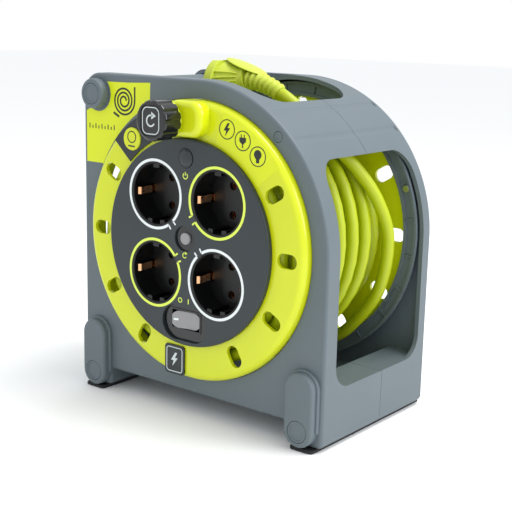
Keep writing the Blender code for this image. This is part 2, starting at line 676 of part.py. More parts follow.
SCREW_NAMES = ["left_foot", "right_foot", "corner", "right"]
for screw_name, (radius, (x, z), outer_y), end_y in zip(SCREW_NAMES, cap_seats, SCREW_ENDS):
    head_y = outer_y + SCREW_WELL_DEPTH - SCREW_HEAD_HEIGHT - GAP
    screw_piece(f"case_screw_{screw_name}", x, z, head_y, end_y, reel,
                head=min(SCREW_HEAD_RADIUS, radius - 2 * GAP))
    cap = rod(radius, outer_y, outer_y + CAP_THICKNESS, x, z, 16)
    add_part(cap, f"screw_cap_{screw_name}", GREY, reel)

for side, side_name in ((-1, "left"), (1, "right")):
    pad_x = side * (FOOT_X + PAD_OFFSET)
    pad = box((pad_x - PAD_WIDTH / 2, FACE_Y - FOOT_REACH + PAD_INSET,
               FOOT_BOTTOM_Z - GAP - PAD_THICKNESS),
              (pad_x + PAD_WIDTH / 2, REAR_Y + REAR_REACH - PAD_INSET,
               FOOT_BOTTOM_Z - GAP))
    add_part(pad, f"foot_pad_{side_name}", RUBBER, reel)

keeper = turned([(KEEPER_OUTER_RADIUS, keeper_front_y), (KEEPER_OUTER_RADIUS, keeper_rear_y),
                 (KEEPER_INNER_RADIUS, keeper_rear_y), (KEEPER_INNER_RADIUS, keeper_front_y)],
                40)
cut(keeper, rods(KEEPER_PILOT_RADIUS, keeper_front_y - MM, keeper_rear_y + MM,
                 keeper_screw_places, 8))
cut(keeper, rod(POST_RADIUS + 2 * GAP, keeper_front_y - MM, keeper_rear_y + MM,
                SIDE_SCREW_X, SIDE_SCREW_Z, 16))
add_part(keeper, "drum_keeper", GREY, reel)
for number, (x, z) in enumerate(keeper_screw_places, 1):
    screw_piece(f"keeper_screw_{number}", x, z, keeper_front_y - SCREW_HEAD_HEIGHT - GAP,
                collar_end_y - 3 * MM, reel, radius=KEEPER_SCREW_RADIUS, head=KEEPER_SCREW_HEAD)


# ---------------------------------------------------------------- drum

def slots(start_y, end_y, angles):
    """Oval radial slots as cutters."""
    tools = []
    for angle in angles:
        straight = (SLOT_LENGTH - SLOT_WIDTH) / 2
        outline = (arc((SLOT_RADIUS + straight, 0), SLOT_WIDTH / 2, -90, 90, SLOT_STEPS)
                   + arc((SLOT_RADIUS - straight, 0), SLOT_WIDTH / 2, 90, 270, SLOT_STEPS))
        slot = plate(outline, start_y, end_y)
        slot.data.transform(Matrix.Rotation(math.radians(-angle), 4, "Y"))
        tools.append(slot)
    return tools


ring_slots = [angle for angle in range(0, 360, SLOT_PITCH_DEG) if angle not in BARE_SLOT_ANGLES]
rear_slots = range(0, 360, 2 * SLOT_PITCH_DEG)
LUG_PITCH_RADIUS = HUB_RADIUS - 6.7 * MM
LUG_RADIUS = 5.0 * MM
LUG_ANGLES = (0, 90, 180)
LUG_DEPTH = 15.0 * MM
lug_places = [polar(LUG_PITCH_RADIUS, angle) for angle in LUG_ANGLES]

rim_middle = DRUM_RADIUS - RIM_ROUNDING
rim_curve = [(r, RIM_ROUNDING + y) for r, y in arc((rim_middle, 0), RIM_ROUNDING, -90, 0, 2)]
shoulder_inner = SHOULDER_RADIUS - SHOULDER_WALL
step_y = SHOULDER_DEPTH - SHOULDER_WALL
hub_inner = HUB_RADIUS - HUB_WALL
front_flange = turned(
    [(shoulder_inner, 0)] + rim_curve
    + [(DRUM_RADIUS, RIM_DEPTH), (DRUM_RADIUS - RIM_WALL, RIM_DEPTH),
       (DRUM_RADIUS - RIM_WALL, RIM_ROUNDING + MM), (rim_middle, RING_THICKNESS),
       (SHOULDER_RADIUS, RING_THICKNESS), (SHOULDER_RADIUS, SHOULDER_DEPTH),
       (hub_inner, SHOULDER_DEPTH), (hub_inner, step_y), (shoulder_inner, step_y)], DRUM_SIDES)
join(front_flange, plate(rounded_rectangle((POD_LEFT_X, POD_LOW_Z), (POD_RIGHT_X, POD_HIGH_Z),
                                           POD_CORNER), POD_FRONT_Y, MM))
join(front_flange, rod(KNOB_SEAT_RADIUS, SEAT_FRONT_Y, MM, KNOB_X, KNOB_Z, 24))
boss_x, boss_z = polar((PLATE_INNER_RADIUS + PLATE_OUTER_RADIUS) / 2, BOSS_ANGLE_DEG)
join(front_flange, rod(BOSS_RADIUS, -BOSS_HEIGHT, MM, boss_x, boss_z, 20))
lugs = rods(LUG_RADIUS, step_y, SHOULDER_DEPTH - 0.1 * MM, lug_places, 12)
join(front_flange, lugs)
cut(front_flange, rods(SCREW_HOLE_RADIUS, step_y - MM, SHOULDER_DEPTH + MM, lug_places, 8))
cut(front_flange, *slots(-MM, RIM_DEPTH / 2, ring_slots))
cut(front_flange, rod(KNOB_BORE_RADIUS, SEAT_FRONT_Y - MM, AXLE_END_Y + GAP, KNOB_X, KNOB_Z, 20))
add_part(front_flange, "drum_front_flange", LIME, drum_axis)

hub = turned(
    [(hub_inner, HUB_START_Y), (HUB_RADIUS, HUB_START_Y), (HUB_RADIUS, REAR_FLANGE_Y),
     (DRUM_RADIUS, REAR_FLANGE_Y), (DRUM_RADIUS, REAR_FLANGE_END_Y),
     (DRUM_RADIUS - RIM_WALL, REAR_FLANGE_END_Y),
     (DRUM_RADIUS - RIM_WALL, REAR_FLANGE_Y + FLANGE_THICKNESS),
     (hub_inner, REAR_FLANGE_Y + FLANGE_THICKNESS)], DRUM_SIDES)
floor = rod(HUB_RADIUS - HUB_WALL / 2, HUB_FLOOR_Y, HUB_FLOOR_Y + HUB_WALL, sides=48)
join(hub, floor)
join(hub, rods(LUG_RADIUS, HUB_START_Y, HUB_START_Y + LUG_DEPTH, lug_places, 12))
cut(hub, rods(SCREW_HOLE_RADIUS, HUB_START_Y - MM, HUB_START_Y + LUG_DEPTH - 2 * MM,
              lug_places, 8))
cut(hub, *slots(REAR_FLANGE_Y - MM, REAR_FLANGE_END_Y, rear_slots))
CABLE_HOLE = 6.0 * MM
hole_y = HUB_FLOOR_Y - 2 * CABLE_HOLE
cut(hub, box((-CABLE_HOLE, hole_y - CABLE_HOLE, -HUB_RADIUS - MM),
             (CABLE_HOLE, hole_y + CABLE_HOLE, -HUB_RADIUS + 2 * HUB_WALL)))
add_part(hub, "drum_hub", LIME, drum_axis)
for number, (x, z) in enumerate(lug_places, 1):
    screw_piece(f"hub_screw_{number}", x, z, step_y - SCREW_HEAD_HEIGHT - GAP,
                HUB_START_Y + LUG_DEPTH - 4 * MM, drum_axis)


# ---------------------------------------------------------------- cable clamp in the hub

CLAMP_HALF_WIDTH = 13.0 * MM
CLAMP_HALF_HEIGHT = 4.0 * MM
CLAMP_DEPTH = 7.0 * MM
CLAMP_Z = -38.0 * MM
CLAMP_SCREW_X = 9.5 * MM
CLAMP_POST_DEPTH = 9.0 * MM
clamp_rear_y = HUB_FLOOR_Y - GAP
clamp_front_y = clamp_rear_y - CLAMP_DEPTH
clamp = box((-CLAMP_HALF_WIDTH, clamp_front_y, CLAMP_Z - CLAMP_HALF_HEIGHT),
            (CLAMP_HALF_WIDTH, clamp_rear_y, CLAMP_Z + CLAMP_HALF_HEIGHT))
saddle = plate(arc((0, clamp_rear_y), CABLE_D / 2 + GAP, 0, 360, 16)[:-1],
               CLAMP_Z - 2 * CLAMP_HALF_HEIGHT, CLAMP_Z + 2 * CLAMP_HALF_HEIGHT, "Z")
cut(clamp, saddle)
clamp_screws = [(-CLAMP_SCREW_X, CLAMP_Z), (CLAMP_SCREW_X, CLAMP_Z)]
cut(clamp, rods(SCREW_HOLE_RADIUS, clamp_front_y - MM, clamp_rear_y + MM, clamp_screws, 8))
add_part(clamp, "cable_clamp", BLACK, drum_axis)
clamp_post_end = HUB_FLOOR_Y + CLAMP_POST_DEPTH
join(hub, rods(2 * SCREW_RADIUS, HUB_FLOOR_Y + MM, clamp_post_end, clamp_screws, 10))
cut(hub, rods(SCREW_HOLE_RADIUS, HUB_FLOOR_Y - MM, clamp_post_end - MM, clamp_screws, 8))
for number, (x, z) in enumerate(clamp_screws, 1):
    screw_piece(f"clamp_screw_{number}", x, z, clamp_front_y - SCREW_HEAD_HEIGHT - GAP,
                clamp_post_end - 2 * MM, drum_axis)


# ---------------------------------------------------------------- socket panel and sockets

socket_places = [(x, z) for z in (SOCKET_TOP_Z, SOCKET_LOW_Z) for x in (-SOCKET_X, SOCKET_X)]
SOCKET_NAMES = ["upper_left", "upper_right", "lower_left", "lower_right"]
well_outer = WELL_RADIUS + WELL_WALL


def oblong(half_width, half_height, x, z, start_y, end_y):
    return plate(rounded_rectangle((x - half_width, z - half_height),
                                   (x + half_width, z + half_height),
                                   min(half_width, half_height) - 0.01 * MM, 4), start_y, end_y)


panel = rod(PANEL_RADIUS, PANEL_FRONT_Y, PANEL_REAR_Y, sides=DRUM_SIDES)
soften(panel, PANEL_BEVEL, 1)
cut(panel, rods(well_outer + GAP, PANEL_FRONT_Y - MM, PANEL_REAR_Y + MM, socket_places, WELL_SIDES))
cut(panel, rod(LENS_RADIUS + GAP, PANEL_FRONT_Y - MM, PANEL_REAR_Y + MM, 0, LENS_Z, 24))
cut(panel, oblong(RESET_RECESS_X, RESET_RECESS_Z, 0, RESET_Z,
                  PANEL_FRONT_Y - MM, PANEL_FRONT_Y + RECESS_DEPTH))
cut(panel, rod(RESET_RADIUS + GAP, PANEL_FRONT_Y - MM, PANEL_REAR_Y + MM, 0, RESET_Z, 24))
cut(panel, oblong(SWITCH_RECESS_X, SWITCH_RECESS_Z, 0, SWITCH_RECESS_MIDDLE_Z,
                  PANEL_FRONT_Y - MM, PANEL_FRONT_Y + SWITCH_RECESS_DEPTH))
cavity_x = ROCKER_RADIUS + RUNNING
cavity_z = ROCKER_HEIGHT / 2 + GAP
bezel_x = cavity_x + SWITCH_WALL
bezel_z = cavity_z + SWITCH_WALL
cut(panel, box((-bezel_x - GAP, PANEL_FRONT_Y - MM, ROCKER_Z - bezel_z - GAP),
               (bezel_x + GAP, PANEL_REAR_Y + MM, ROCKER_Z + bezel_z + GAP)))
add_part(panel, "socket_panel", DARK, drum_axis)

strap_front = WELL_END_Y + GAP
strap_rear = step_y - GAP
for socket_name, (x, z) in zip(SOCKET_NAMES, socket_places):
    well = rod(well_outer, PANEL_FRONT_Y, WELL_END_Y, x, z, WELL_SIDES)
    cut(well, rod(WELL_RADIUS, PANEL_FRONT_Y - MM, WELL_END_Y - WELL_FLOOR, x, z, WELL_SIDES))
    pins = [(x, z + PIN_PITCH / 2), (x, z - PIN_PITCH / 2)]
    cut(well, rods(PIN_HOLE_RADIUS, PANEL_FRONT_Y, WELL_END_Y + MM, pins, 10))
    for side in (-1, 1):
        arm_x = x + side * CLIP_X
        cut(well, box((arm_x - CLIP_THICKNESS / 2 - GAP, 0, z - CLIP_WIDTH / 2 - GAP),
                      (arm_x + CLIP_THICKNESS / 2 + GAP, WELL_END_Y + MM,
                       z + CLIP_WIDTH / 2 + GAP)))
    add_part(well, f"socket_well_{socket_name}", BLACK, drum_axis)

    strap = box((x - CLIP_X - CLIP_THICKNESS / 2, strap_front, z - CLIP_WIDTH / 2),
                (x + CLIP_X + CLIP_THICKNESS / 2, strap_rear, z + CLIP_WIDTH / 2))
    for side in (-1, 1):
        arm_x = x + side * CLIP_X
        arm = box((arm_x - CLIP_THICKNESS / 2, -MM, z - CLIP_WIDTH / 2 + 0.1 * MM),
                  (arm_x + CLIP_THICKNESS / 2 - 0.05 * MM, strap_rear - 0.2 * MM,
                   z + CLIP_WIDTH / 2 - 0.1 * MM))
        join(strap, arm)
    add_part(strap, f"earth_clips_{socket_name}", BRASS, drum_axis)


def contact_bar(name, pin_side, bar_y, link_x):
    """Four pin contacts joined by a flat frame of strip."""
    places = [(x, z + pin_side * PIN_PITCH / 2) for x, z in socket_places]
    low_z = SOCKET_LOW_Z + pin_side * PIN_PITCH / 2
    high_z = SOCKET_TOP_Z + pin_side * PIN_PITCH / 2
    half = BAR_STRIP / 2
    frame = box((link_x - half, bar_y, low_z), (link_x + half, bar_y + BAR_SHEET, high_z))
    for strip_z in (low_z, high_z):
        join(frame, box((-SOCKET_X, bar_y - 0.1 * MM, strip_z - half),
                        (SOCKET_X, bar_y + BAR_SHEET + 0.1 * MM, strip_z + half)))
    join(frame, rods(CONTACT_RADIUS, strap_front, bar_y + 2 * BAR_SHEET, places, 8))
    cut(frame, rods(CONTACT_BORE_RADIUS, 0, bar_y - MM, places, 8))
    return add_part(frame, name, BRASS, drum_axis)


LINK_X = 14.5 * MM
contact_bar("live_bar", 1, LIVE_BAR_Y, -LINK_X)
contact_bar("neutral_bar", -1, NEUTRAL_BAR_Y, LINK_X)

EARTH_LINK_X = 34.0 * MM
earth_front = step_y
half_strip = 2.0 * MM
earth_bar = box((-EARTH_LINK_X, earth_front, SOCKET_LOW_Z - half_strip),
                (EARTH_LINK_X, earth_front + BAR_SHEET, SOCKET_LOW_Z + half_strip))
for side in (-1, 1):
    join(earth_bar, box((side * EARTH_LINK_X - half_strip, earth_front + 0.1 * MM,
                         SOCKET_LOW_Z - 1.5 * half_strip),
                        (side * EARTH_LINK_X + half_strip, earth_front + BAR_SHEET + 0.1 * MM,
                         SOCKET_TOP_Z + half_strip)))
add_part(earth_bar, "earth_bar", BRASS, drum_axis)


# ---------------------------------------------------------------- lamp, cut-out and switch

lens = rod(LENS_RADIUS, PANEL_FRONT_Y - LENS_STAND_OUT, PANEL_REAR_Y - GAP, 0, LENS_Z, 20)
add_part(soften(lens, LENS_BEVEL, 1), "pilot_lens", LENS, drum_axis)
lamp = rod(LAMP_RADIUS, GAP, LAMP_END_Y, 0, LENS_Z, 12)
add_part(lamp, "pilot_lamp", BRASS, drum_axis)

button_front = PANEL_FRONT_Y + RECESS_DEPTH - RESET_STAND_OUT
button_end = button_front + RESET_LENGTH
button = rod(RESET_RADIUS, button_front, button_end, 0, RESET_Z, 20)
add_part(soften(button, RESET_BEVEL, 1), "reset_button", BUTTON, reset_axis)
cutout = box((-CUTOUT_HALF_WIDTH, 0, RESET_Z - CUTOUT_HALF_HEIGHT),
             (CUTOUT_HALF_WIDTH, CUTOUT_DEPTH, RESET_Z + CUTOUT_HALF_HEIGHT))
cut(cutout, rod(RESET_RADIUS + GAP, -MM, button_end + RESET_TRAVEL + MM, 0, RESET_Z, 24))
add_part(cutout, "thermal_cutout", BLACK, drum_axis)

switch = box((-bezel_x, SWITCH_FRONT_Y, ROCKER_Z - bezel_z),
             (bezel_x, SWITCH_END_Y, ROCKER_Z + bezel_z))
cut(switch, box((-cavity_x, SWITCH_FRONT_Y - MM, ROCKER_Z - cavity_z),
                (cavity_x, ROCKER_PIVOT_Y + ROCKER_SPACE, ROCKER_Z + cavity_z)))
add_part(switch, "switch_body", BLACK, drum_axis)

rocker_outline = (arc((0, 0), ROCKER_RADIUS, 15, -20, 4) + [(0, ROCKER_DISH_Y)]
                  + arc((0, 0), ROCKER_RADIUS, 200, 165, 4)
                  + [(-ROCKER_BACK_X, ROCKER_BACK_Y), (ROCKER_BACK_X, ROCKER_BACK_Y)])
rocker = plate(rocker_outline, ROCKER_Z - ROCKER_HEIGHT / 2, ROCKER_Z + ROCKER_HEIGHT / 2, "Z")
rocker.data.transform(Matrix.Rotation(math.radians(ROCKER_TILT_DEG), 4, "Z"))
move(rocker, y=ROCKER_PIVOT_Y)
add_part(rocker, "rocker", BUTTON, rocker_axis)


# ---------------------------------------------------------------- knob, plates

knob = rod(KNOB_RADIUS, KNOB_FRONT_Y, KNOB_BACK_Y, KNOB_X, KNOB_Z, 28)
soften(knob, KNOB_BEVEL, 1)
flutes = [(KNOB_X + x, KNOB_Z + z) for x, z in
          (polar(KNOB_RADIUS + FLUTE_OFFSET, 360 * k / KNOB_FLUTES)
           for k in range(KNOB_FLUTES))]
cut(knob, rods(FLUTE_RADIUS, KNOB_FRONT_Y - MM, KNOB_BACK_Y + MM, flutes, 6))
seat_y = KNOB_FRONT_Y + KNOB_CAP_THICKNESS + GAP
cap_low = (KNOB_X - KNOB_CAP_WIDTH / 2, KNOB_Z - KNOB_CAP_HEIGHT / 2)
cap_high = (KNOB_X + KNOB_CAP_WIDTH / 2, KNOB_Z + KNOB_CAP_HEIGHT / 2)
cut(knob, plate(rounded_rectangle([v - GAP for v in cap_low], [v + GAP for v in cap_high],
                                  KNOB_CAP_CORNER), KNOB_FRONT_Y - MM, seat_y))
head_end = seat_y + GAP + AXLE_HEAD_HEIGHT
cut(knob, rod(AXLE_HEAD_RADIUS + GAP, KNOB_FRONT_Y, head_end + GAP, KNOB_X, KNOB_Z, 20))
cut(knob, rod(KNOB_BORE_RADIUS, KNOB_FRONT_Y, KNOB_BACK_Y + MM, KNOB_X, KNOB_Z, 20))
add_part(knob, "crank_knob", BLACK, knob_axis)
knob_cap = plate(rounded_rectangle(cap_low, cap_high, KNOB_CAP_CORNER), KNOB_FRONT_Y,
                 KNOB_FRONT_Y + KNOB_CAP_THICKNESS)
add_part(knob_cap, "knob_cap", BLACK, knob_axis)
axle = turned([(0, seat_y + GAP), (AXLE_HEAD_RADIUS, seat_y + GAP), (AXLE_HEAD_RADIUS, head_end),
               (AXLE_RADIUS, head_end), (AXLE_RADIUS, AXLE_END_Y), (0, AXLE_END_Y)], 20, closed=False)
add_part(move(axle, x=KNOB_X, z=KNOB_Z), "knob_axle", STEEL, drum_axis)

plate_front = -GAP - PLATE_THICKNESS
crank_plate = plate(arc((0, 0), PLATE_OUTER_RADIUS, PLATE_START_DEG, PLATE_END_DEG, 8)
                    + arc((0, 0), PLATE_INNER_RADIUS, PLATE_END_DEG, PLATE_START_DEG, 8),
                    plate_front, -GAP)
cut(crank_plate, rod(BOSS_RADIUS + GAP, plate_front - MM, MM, boss_x, boss_z, 24))
add_part(crank_plate, "crank_plate", BLACK, drum_axis)
badge = plate(rounded_rectangle((BADGE_X - BADGE_WIDTH / 2, BADGE_Z - BADGE_HEIGHT / 2),
                                (BADGE_X + BADGE_WIDTH / 2, BADGE_Z + BADGE_HEIGHT / 2),
                                BADGE_CORNER, 3), plate_front, -GAP)
add_part(badge, "badge_plate", BLACK, drum_axis)


# ---------------------------------------------------------------- cable on the drum

core = turned([(SHOULDER_RADIUS + GAP, CORE_FRONT_Y), (CORE_RADIUS, CORE_FRONT_Y),
               (CORE_RADIUS, CORE_REAR_Y), (HUB_RADIUS + GAP, CORE_REAR_Y),
               (HUB_RADIUS + GAP, HUB_START_Y), (SHOULDER_RADIUS + GAP, HUB_START_Y)], 40)
add_part(core, "cable_inner_layers", CABLE, drum_axis)


def on_drum(radius, angle_deg, y):
    x, z = polar(radius, angle_deg)
    return Vector((x, y, z))


def winding_points():
    """The outer layer, front to rear, anticlockwise from the front, with straight ends. At
    its lowest place the cable bends to the rear, so that the drum turns clear of the lead."""
    count = OUTER_TURNS * POINTS_PER_TURN + LAST_TURN_STEPS
    points = []
    for k in range(count + 1):
        angle = WINDING_START_DEG + 360 * k / POINTS_PER_TURN
        points.append(on_drum(OUTER_LAYER_RADIUS, angle,
                              WINDING_FRONT_Y + TURN_PITCH * k / POINTS_PER_TURN))
    first = (points[0] - points[1]).normalized() * CABLE_D
    end = points[-1]
    onward = math.radians(angle)
    way = Vector((-math.sin(onward), 0, math.cos(onward)))
    rearward = Vector((0, 1, 0))
    for bend in (math.radians(30), math.radians(60), math.radians(90)):
        points.append(end + (way * math.sin(bend) + rearward * (1 - math.cos(bend))) * END_BEND)
    return [points[0] + first] + points + [points[-1] + rearward * MM]


def least_gap(points, diameter, apart):
    """Smallest clear distance between stretches of a cable that are not neighbours."""
    least = math.inf
    for i, first in enumerate(points):
        for second in points[i + apart:]:
            least = min(least, (second - first).length - diameter)
    return least


turns = winding_points()
tube("cable_winding", turns, CABLE_D, 1, CABLE, drum_axis)
print(f"winding: {len(turns) / POINTS_PER_TURN:.1f} turns, least gap between turns "
      f"{least_gap(turns, CABLE_D, POINTS_PER_TURN // 2) / MM:.2f} mm")


# ---------------------------------------------------------------- plug and lead

def along_x(start, end, radius_start, radius_end, sides=24):
    """A round bar between two points, tapered."""
    start = Vector(start)
    end = Vector(end)
    bm = bmesh.new()
    turn = (end - start).to_track_quat("Z", "Y").to_matrix().to_4x4()
    middle = Matrix.Translation((start + end) / 2)
    bmesh.ops.create_cone(bm, cap_ends=True, segments=sides, radius1=radius_start,
                          radius2=radius_end, depth=(end - start).length, matrix=middle @ turn)
    return object_from(bm, "bar")


def mixed(pair, part):
    return pair[0] + (pair[1] - pair[0]) * part


def relief_point(part):
    """Middle of the strain relief, which bends down along its length."""
    start = Vector((RELIEF_START[0], PLUG_Y, RELIEF_START[1]))
    end = Vector((RELIEF_END[0], PLUG_Y, RELIEF_END[1]))
    reach = (end - start).length / 3
    slope_1, slope_2 = (math.radians(a) for a in RELIEF_TURN_DEG)
    hold_1 = start + reach * Vector((math.cos(slope_1), 0, math.sin(slope_1)))
    hold_2 = end - reach * Vector((math.cos(slope_2), 0, math.sin(slope_2)))
    rest = 1 - part
    return (rest ** 3 * start + 3 * rest * rest * part * hold_1
            + 3 * rest * part * part * hold_2 + part ** 3 * end)


disc_end_x = PLUG_FACE_X + PLUG_FLANGE
plug = along_x((PLUG_FACE_X, PLUG_Y, PLUG_Z), (disc_end_x, PLUG_Y, PLUG_Z),
               PLUG_RADIUS, PLUG_RADIUS, 24)
for side in (-1, 1):
    flat = box((PLUG_FACE_X - MM, PLUG_Y - PLUG_RADIUS, PLUG_Z + PLUG_HALF_HEIGHT),
               (disc_end_x + MM, PLUG_Y + PLUG_RADIUS, PLUG_Z + PLUG_HALF_HEIGHT + 5 * MM))
    if side < 0:
        move(flat, z=-2 * PLUG_HALF_HEIGHT - 5 * MM)
    cut(plug, flat)
body_start = Vector((disc_end_x - MM, PLUG_Y, PLUG_Z))
neck = relief_point(0)
join(plug, along_x(body_start, neck, PLUG_BODY_RADIUS, PLUG_NECK_RADIUS, 20))
bm = bmesh.new()
bmesh.ops.create_uvsphere(bm, u_segments=12, v_segments=6, radius=0.5)
bmesh.ops.scale(bm, vec=(WING_LENGTH, WING_WIDTH, WING_THICKNESS), verts=bm.verts)
wing = object_from(bm, "wing")
wing.data.transform(Matrix.Rotation(math.radians(WING_TILT_DEG), 4, "Y"))
move(wing, *WING_MIDDLE)
join(plug, wing)
for k in range(RELIEF_RINGS):
    part = (k + 0.35) / RELIEF_RINGS
    ring_start = relief_point(part)
    ring_end = relief_point(part + 0.5 / RELIEF_RINGS)
    radius = mixed(RELIEF_RING_RADIUS, part)
    join(plug, along_x(ring_start, ring_end, radius, radius, 10))
relief_core = [relief_point(k / 6) for k in range(7)]
relief_curve = bpy.data.curves.new("relief", "CURVE")
relief_curve.dimensions = "3D"
relief_curve.bevel_depth = RELIEF_CORE_RADIUS
relief_curve.bevel_resolution = 1
relief_curve.use_fill_caps = True
relief_spline = relief_curve.splines.new("POLY")
relief_spline.points.add(len(relief_core))
relief_spline.points[0].co = (*(neck - Vector((RELIEF_ROOT, 0, 0))), 1)
for point, place in zip(relief_spline.points[1:], relief_core):
    point.co = (*place, 1)
relief = bpy.data.objects.new("relief", relief_curve)
cutters.objects.link(relief)
join(plug, to_mesh(relief))

pin_places = [PLUG_Y - PIN_PITCH / 2, PLUG_Y + PIN_PITCH / 2]
for pin_y in pin_places:
    cut(plug, along_x((PLUG_FACE_X - MM, pin_y, PLUG_Z),
                      (PLUG_FACE_X + PIN_ROOT + GAP, pin_y, PLUG_Z),
                      PIN_RADIUS + GAP, PIN_RADIUS + GAP, 12))
for number, pin_y in enumerate(pin_places, 1):
    pin = along_x((PLUG_FACE_X - PIN_LENGTH, pin_y, PLUG_Z),
                  (PLUG_FACE_X + PIN_ROOT, pin_y, PLUG_Z), PIN_RADIUS, PIN_RADIUS, 12)
    add_part(soften(pin, PIN_BEVEL, 1), f"plug_pin_{number}", STEEL, reel)
EARTH_CLIP_HALF = 3.0 * MM
EARTH_CLIP_INSET = 0.4 * MM    # below the plug's flats
CLIP_SEAT = 1.6 * MM           # depth of the seat that holds each clip
for side, side_name in ((1, "top"), (-1, "bottom")):
    outer_z = PLUG_Z + side * (PLUG_HALF_HEIGHT - EARTH_CLIP_INSET)
    inner_z = outer_z - side * CLIP_THICKNESS
    low_z, high_z = sorted((outer_z, inner_z))
    seat_low, seat_high = sorted((PLUG_Z + side * (PLUG_HALF_HEIGHT + MM),
                                  PLUG_Z + side * (PLUG_HALF_HEIGHT - CLIP_SEAT)))
    cut(plug, box((PLUG_FACE_X - MM, PLUG_Y - EARTH_CLIP_HALF - GAP, seat_low),
                  (disc_end_x - MM, PLUG_Y + EARTH_CLIP_HALF + GAP, seat_high)))
    clip = box((PLUG_FACE_X + GAP, PLUG_Y - EARTH_CLIP_HALF, low_z),
               (disc_end_x - MM - GAP, PLUG_Y + EARTH_CLIP_HALF, high_z))
    add_part(clip, f"plug_earth_clip_{side_name}", BRASS, reel)
add_part(plug, "plug_body", LIME, reel)

# The lead goes on to the rear from the end of the winding and climbs out of the turns' way.
# It crosses towards the front as it comes up the right side, passes under the band and
# reaches the plug
relief_end = relief_point(1)
relief_way = (relief_point(1) - relief_point(0.9)).normalized()
lead_start = turns[-1] + (turns[-1] - turns[-2]).normalized() * GAP
lead_end = relief_end + relief_way * GAP
climb = [on_drum(OUTER_LAYER_RADIUS + rise * MM, angle, y * MM) for angle, rise, y in
         ((274.7, 0.3, 109), (274.9, 0.9, 111.6), (275.6, 3.1, 113.9), (277.2, 6.3, 114.9),
          (280.2, 9.4, 114.3), (284.8, 11.5, 113.2))]
lead_route = [climb[-1]]
for angle, rise, y in ((296, 11.1, 111.2), (310, 10.0, 109.4), (335, 9.7, 107),
                       (360, 9.7, 103), (378, 9.8, 94), (394, 9.9, 82), (406, 10.3, 72),
                       (413, 12.6, 65.5), (419, 16.7, 60.5)):
    lead_route.append(on_drum(OUTER_LAYER_RADIUS + rise * MM, angle, y * MM))
lead_route.append(lead_end + relief_way * CABLE_D)
lead_points = [lead_start] + climb[:-1] + smooth_route(lead_route, 2 * CABLE_D) + [lead_end]
tube("cable_lead", lead_points, CABLE_D, 2, CABLE, reel)
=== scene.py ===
"""Looks of an enclosed extension cord reel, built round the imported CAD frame.

The script follows the reel as it is put together: the view, the cable, the case, the drum,
the socket panel and what sits in it, the winding knob, the plug, and the stage. Lengths are
metres and +Z is up. Shapes are drawn in the drum's own frame (X right, Y to the rear from the
face of its ring, Z up from its axis) and moved onto the drum's joint when they are placed.
"""

import json
import math

import bmesh
import bpy
from mathutils import Matrix, Vector


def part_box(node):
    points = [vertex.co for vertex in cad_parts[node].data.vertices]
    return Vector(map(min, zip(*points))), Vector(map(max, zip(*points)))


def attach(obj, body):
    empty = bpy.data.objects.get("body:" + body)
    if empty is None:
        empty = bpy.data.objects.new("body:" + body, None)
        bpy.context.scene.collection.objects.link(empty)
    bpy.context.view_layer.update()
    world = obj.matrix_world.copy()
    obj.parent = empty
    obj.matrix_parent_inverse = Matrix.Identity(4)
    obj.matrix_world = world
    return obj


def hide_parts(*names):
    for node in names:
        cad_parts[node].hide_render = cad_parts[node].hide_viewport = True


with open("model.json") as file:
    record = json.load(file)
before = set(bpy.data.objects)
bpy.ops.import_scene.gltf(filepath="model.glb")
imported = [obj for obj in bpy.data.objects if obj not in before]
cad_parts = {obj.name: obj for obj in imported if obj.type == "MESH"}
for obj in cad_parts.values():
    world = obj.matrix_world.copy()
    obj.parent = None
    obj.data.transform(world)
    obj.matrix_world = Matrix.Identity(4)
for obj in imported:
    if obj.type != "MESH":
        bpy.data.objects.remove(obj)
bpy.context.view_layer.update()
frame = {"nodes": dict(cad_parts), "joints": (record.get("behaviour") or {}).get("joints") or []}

# ------------------------------------------------------------------ the view
# A long lens 0.75 m from the reel's middle, 38 degrees round to the right of its front and 12
# degrees above it, rolled a little over one degree.

CAMERA_PLACE = (0.46046, -0.57334, 0.26412)
camera_data = bpy.data.cameras.new("camera")
camera_data.sensor_width = 36.0
camera_data.lens = 76.04
camera = bpy.data.objects.new("camera", camera_data)
bpy.context.scene.collection.objects.link(camera)
turn, rise, roll = (math.radians(a) for a in (38.0, 12.33, 1.33))
aim = Vector((-math.sin(turn) * math.cos(rise), math.cos(turn) * math.cos(rise), -math.sin(rise)))
level = Vector((math.cos(turn), math.sin(turn), 0))
upright = level.cross(aim)
across = level * math.cos(roll) + upright * math.sin(roll)
above = upright * math.cos(roll) - level * math.sin(roll)
camera.matrix_world = (Matrix.Translation(CAMERA_PLACE)
                       @ Matrix((across, above, -aim)).transposed().to_4x4())
bpy.context.scene.camera = camera


# ------------------------------------------------------------------ cable
# Three cores of 1.5 mm2 in a round sheath of soft PVC, extruded, so it is smooth with a dull
# sheen. Two close layers lie on the hub under one open layer that is wound by hand. From its
# last turn the lead climbs inside the case's band to the plug in the top opening.

MM = 0.001
CABLE_D = 8.6 * MM
INNER_LAYERS = ((61.6, 24.2, 116.9), (70.25, 116.9, 7.4))    # radius, first y, last y in mm
INNER_PITCH = 8.65 * MM
OUTER_RADIUS = 78.92 * MM
OUTER_TURNS = 6 + 1 / 6      # it ends at the drum's lowest place
END_BEND = 6.5 * MM
OUTER_PITCH = 15.0 * MM
OUTER_START_Y = 7.4 * MM
OUTER_START_DEG = -150.0
STEPS_PER_TURN = 40
CLOUD = 40 * MM              # size of the drift in a moulding's colour

spin = next(j for j in frame["joints"] if j["name"] == "drum_spin")["pos_m"]
face_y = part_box("crank_knob")[0].y + 26 * MM     # the ring's face is 26 mm behind the knob's
REEL = Matrix.Translation((spin[0], face_y, spin[2]))


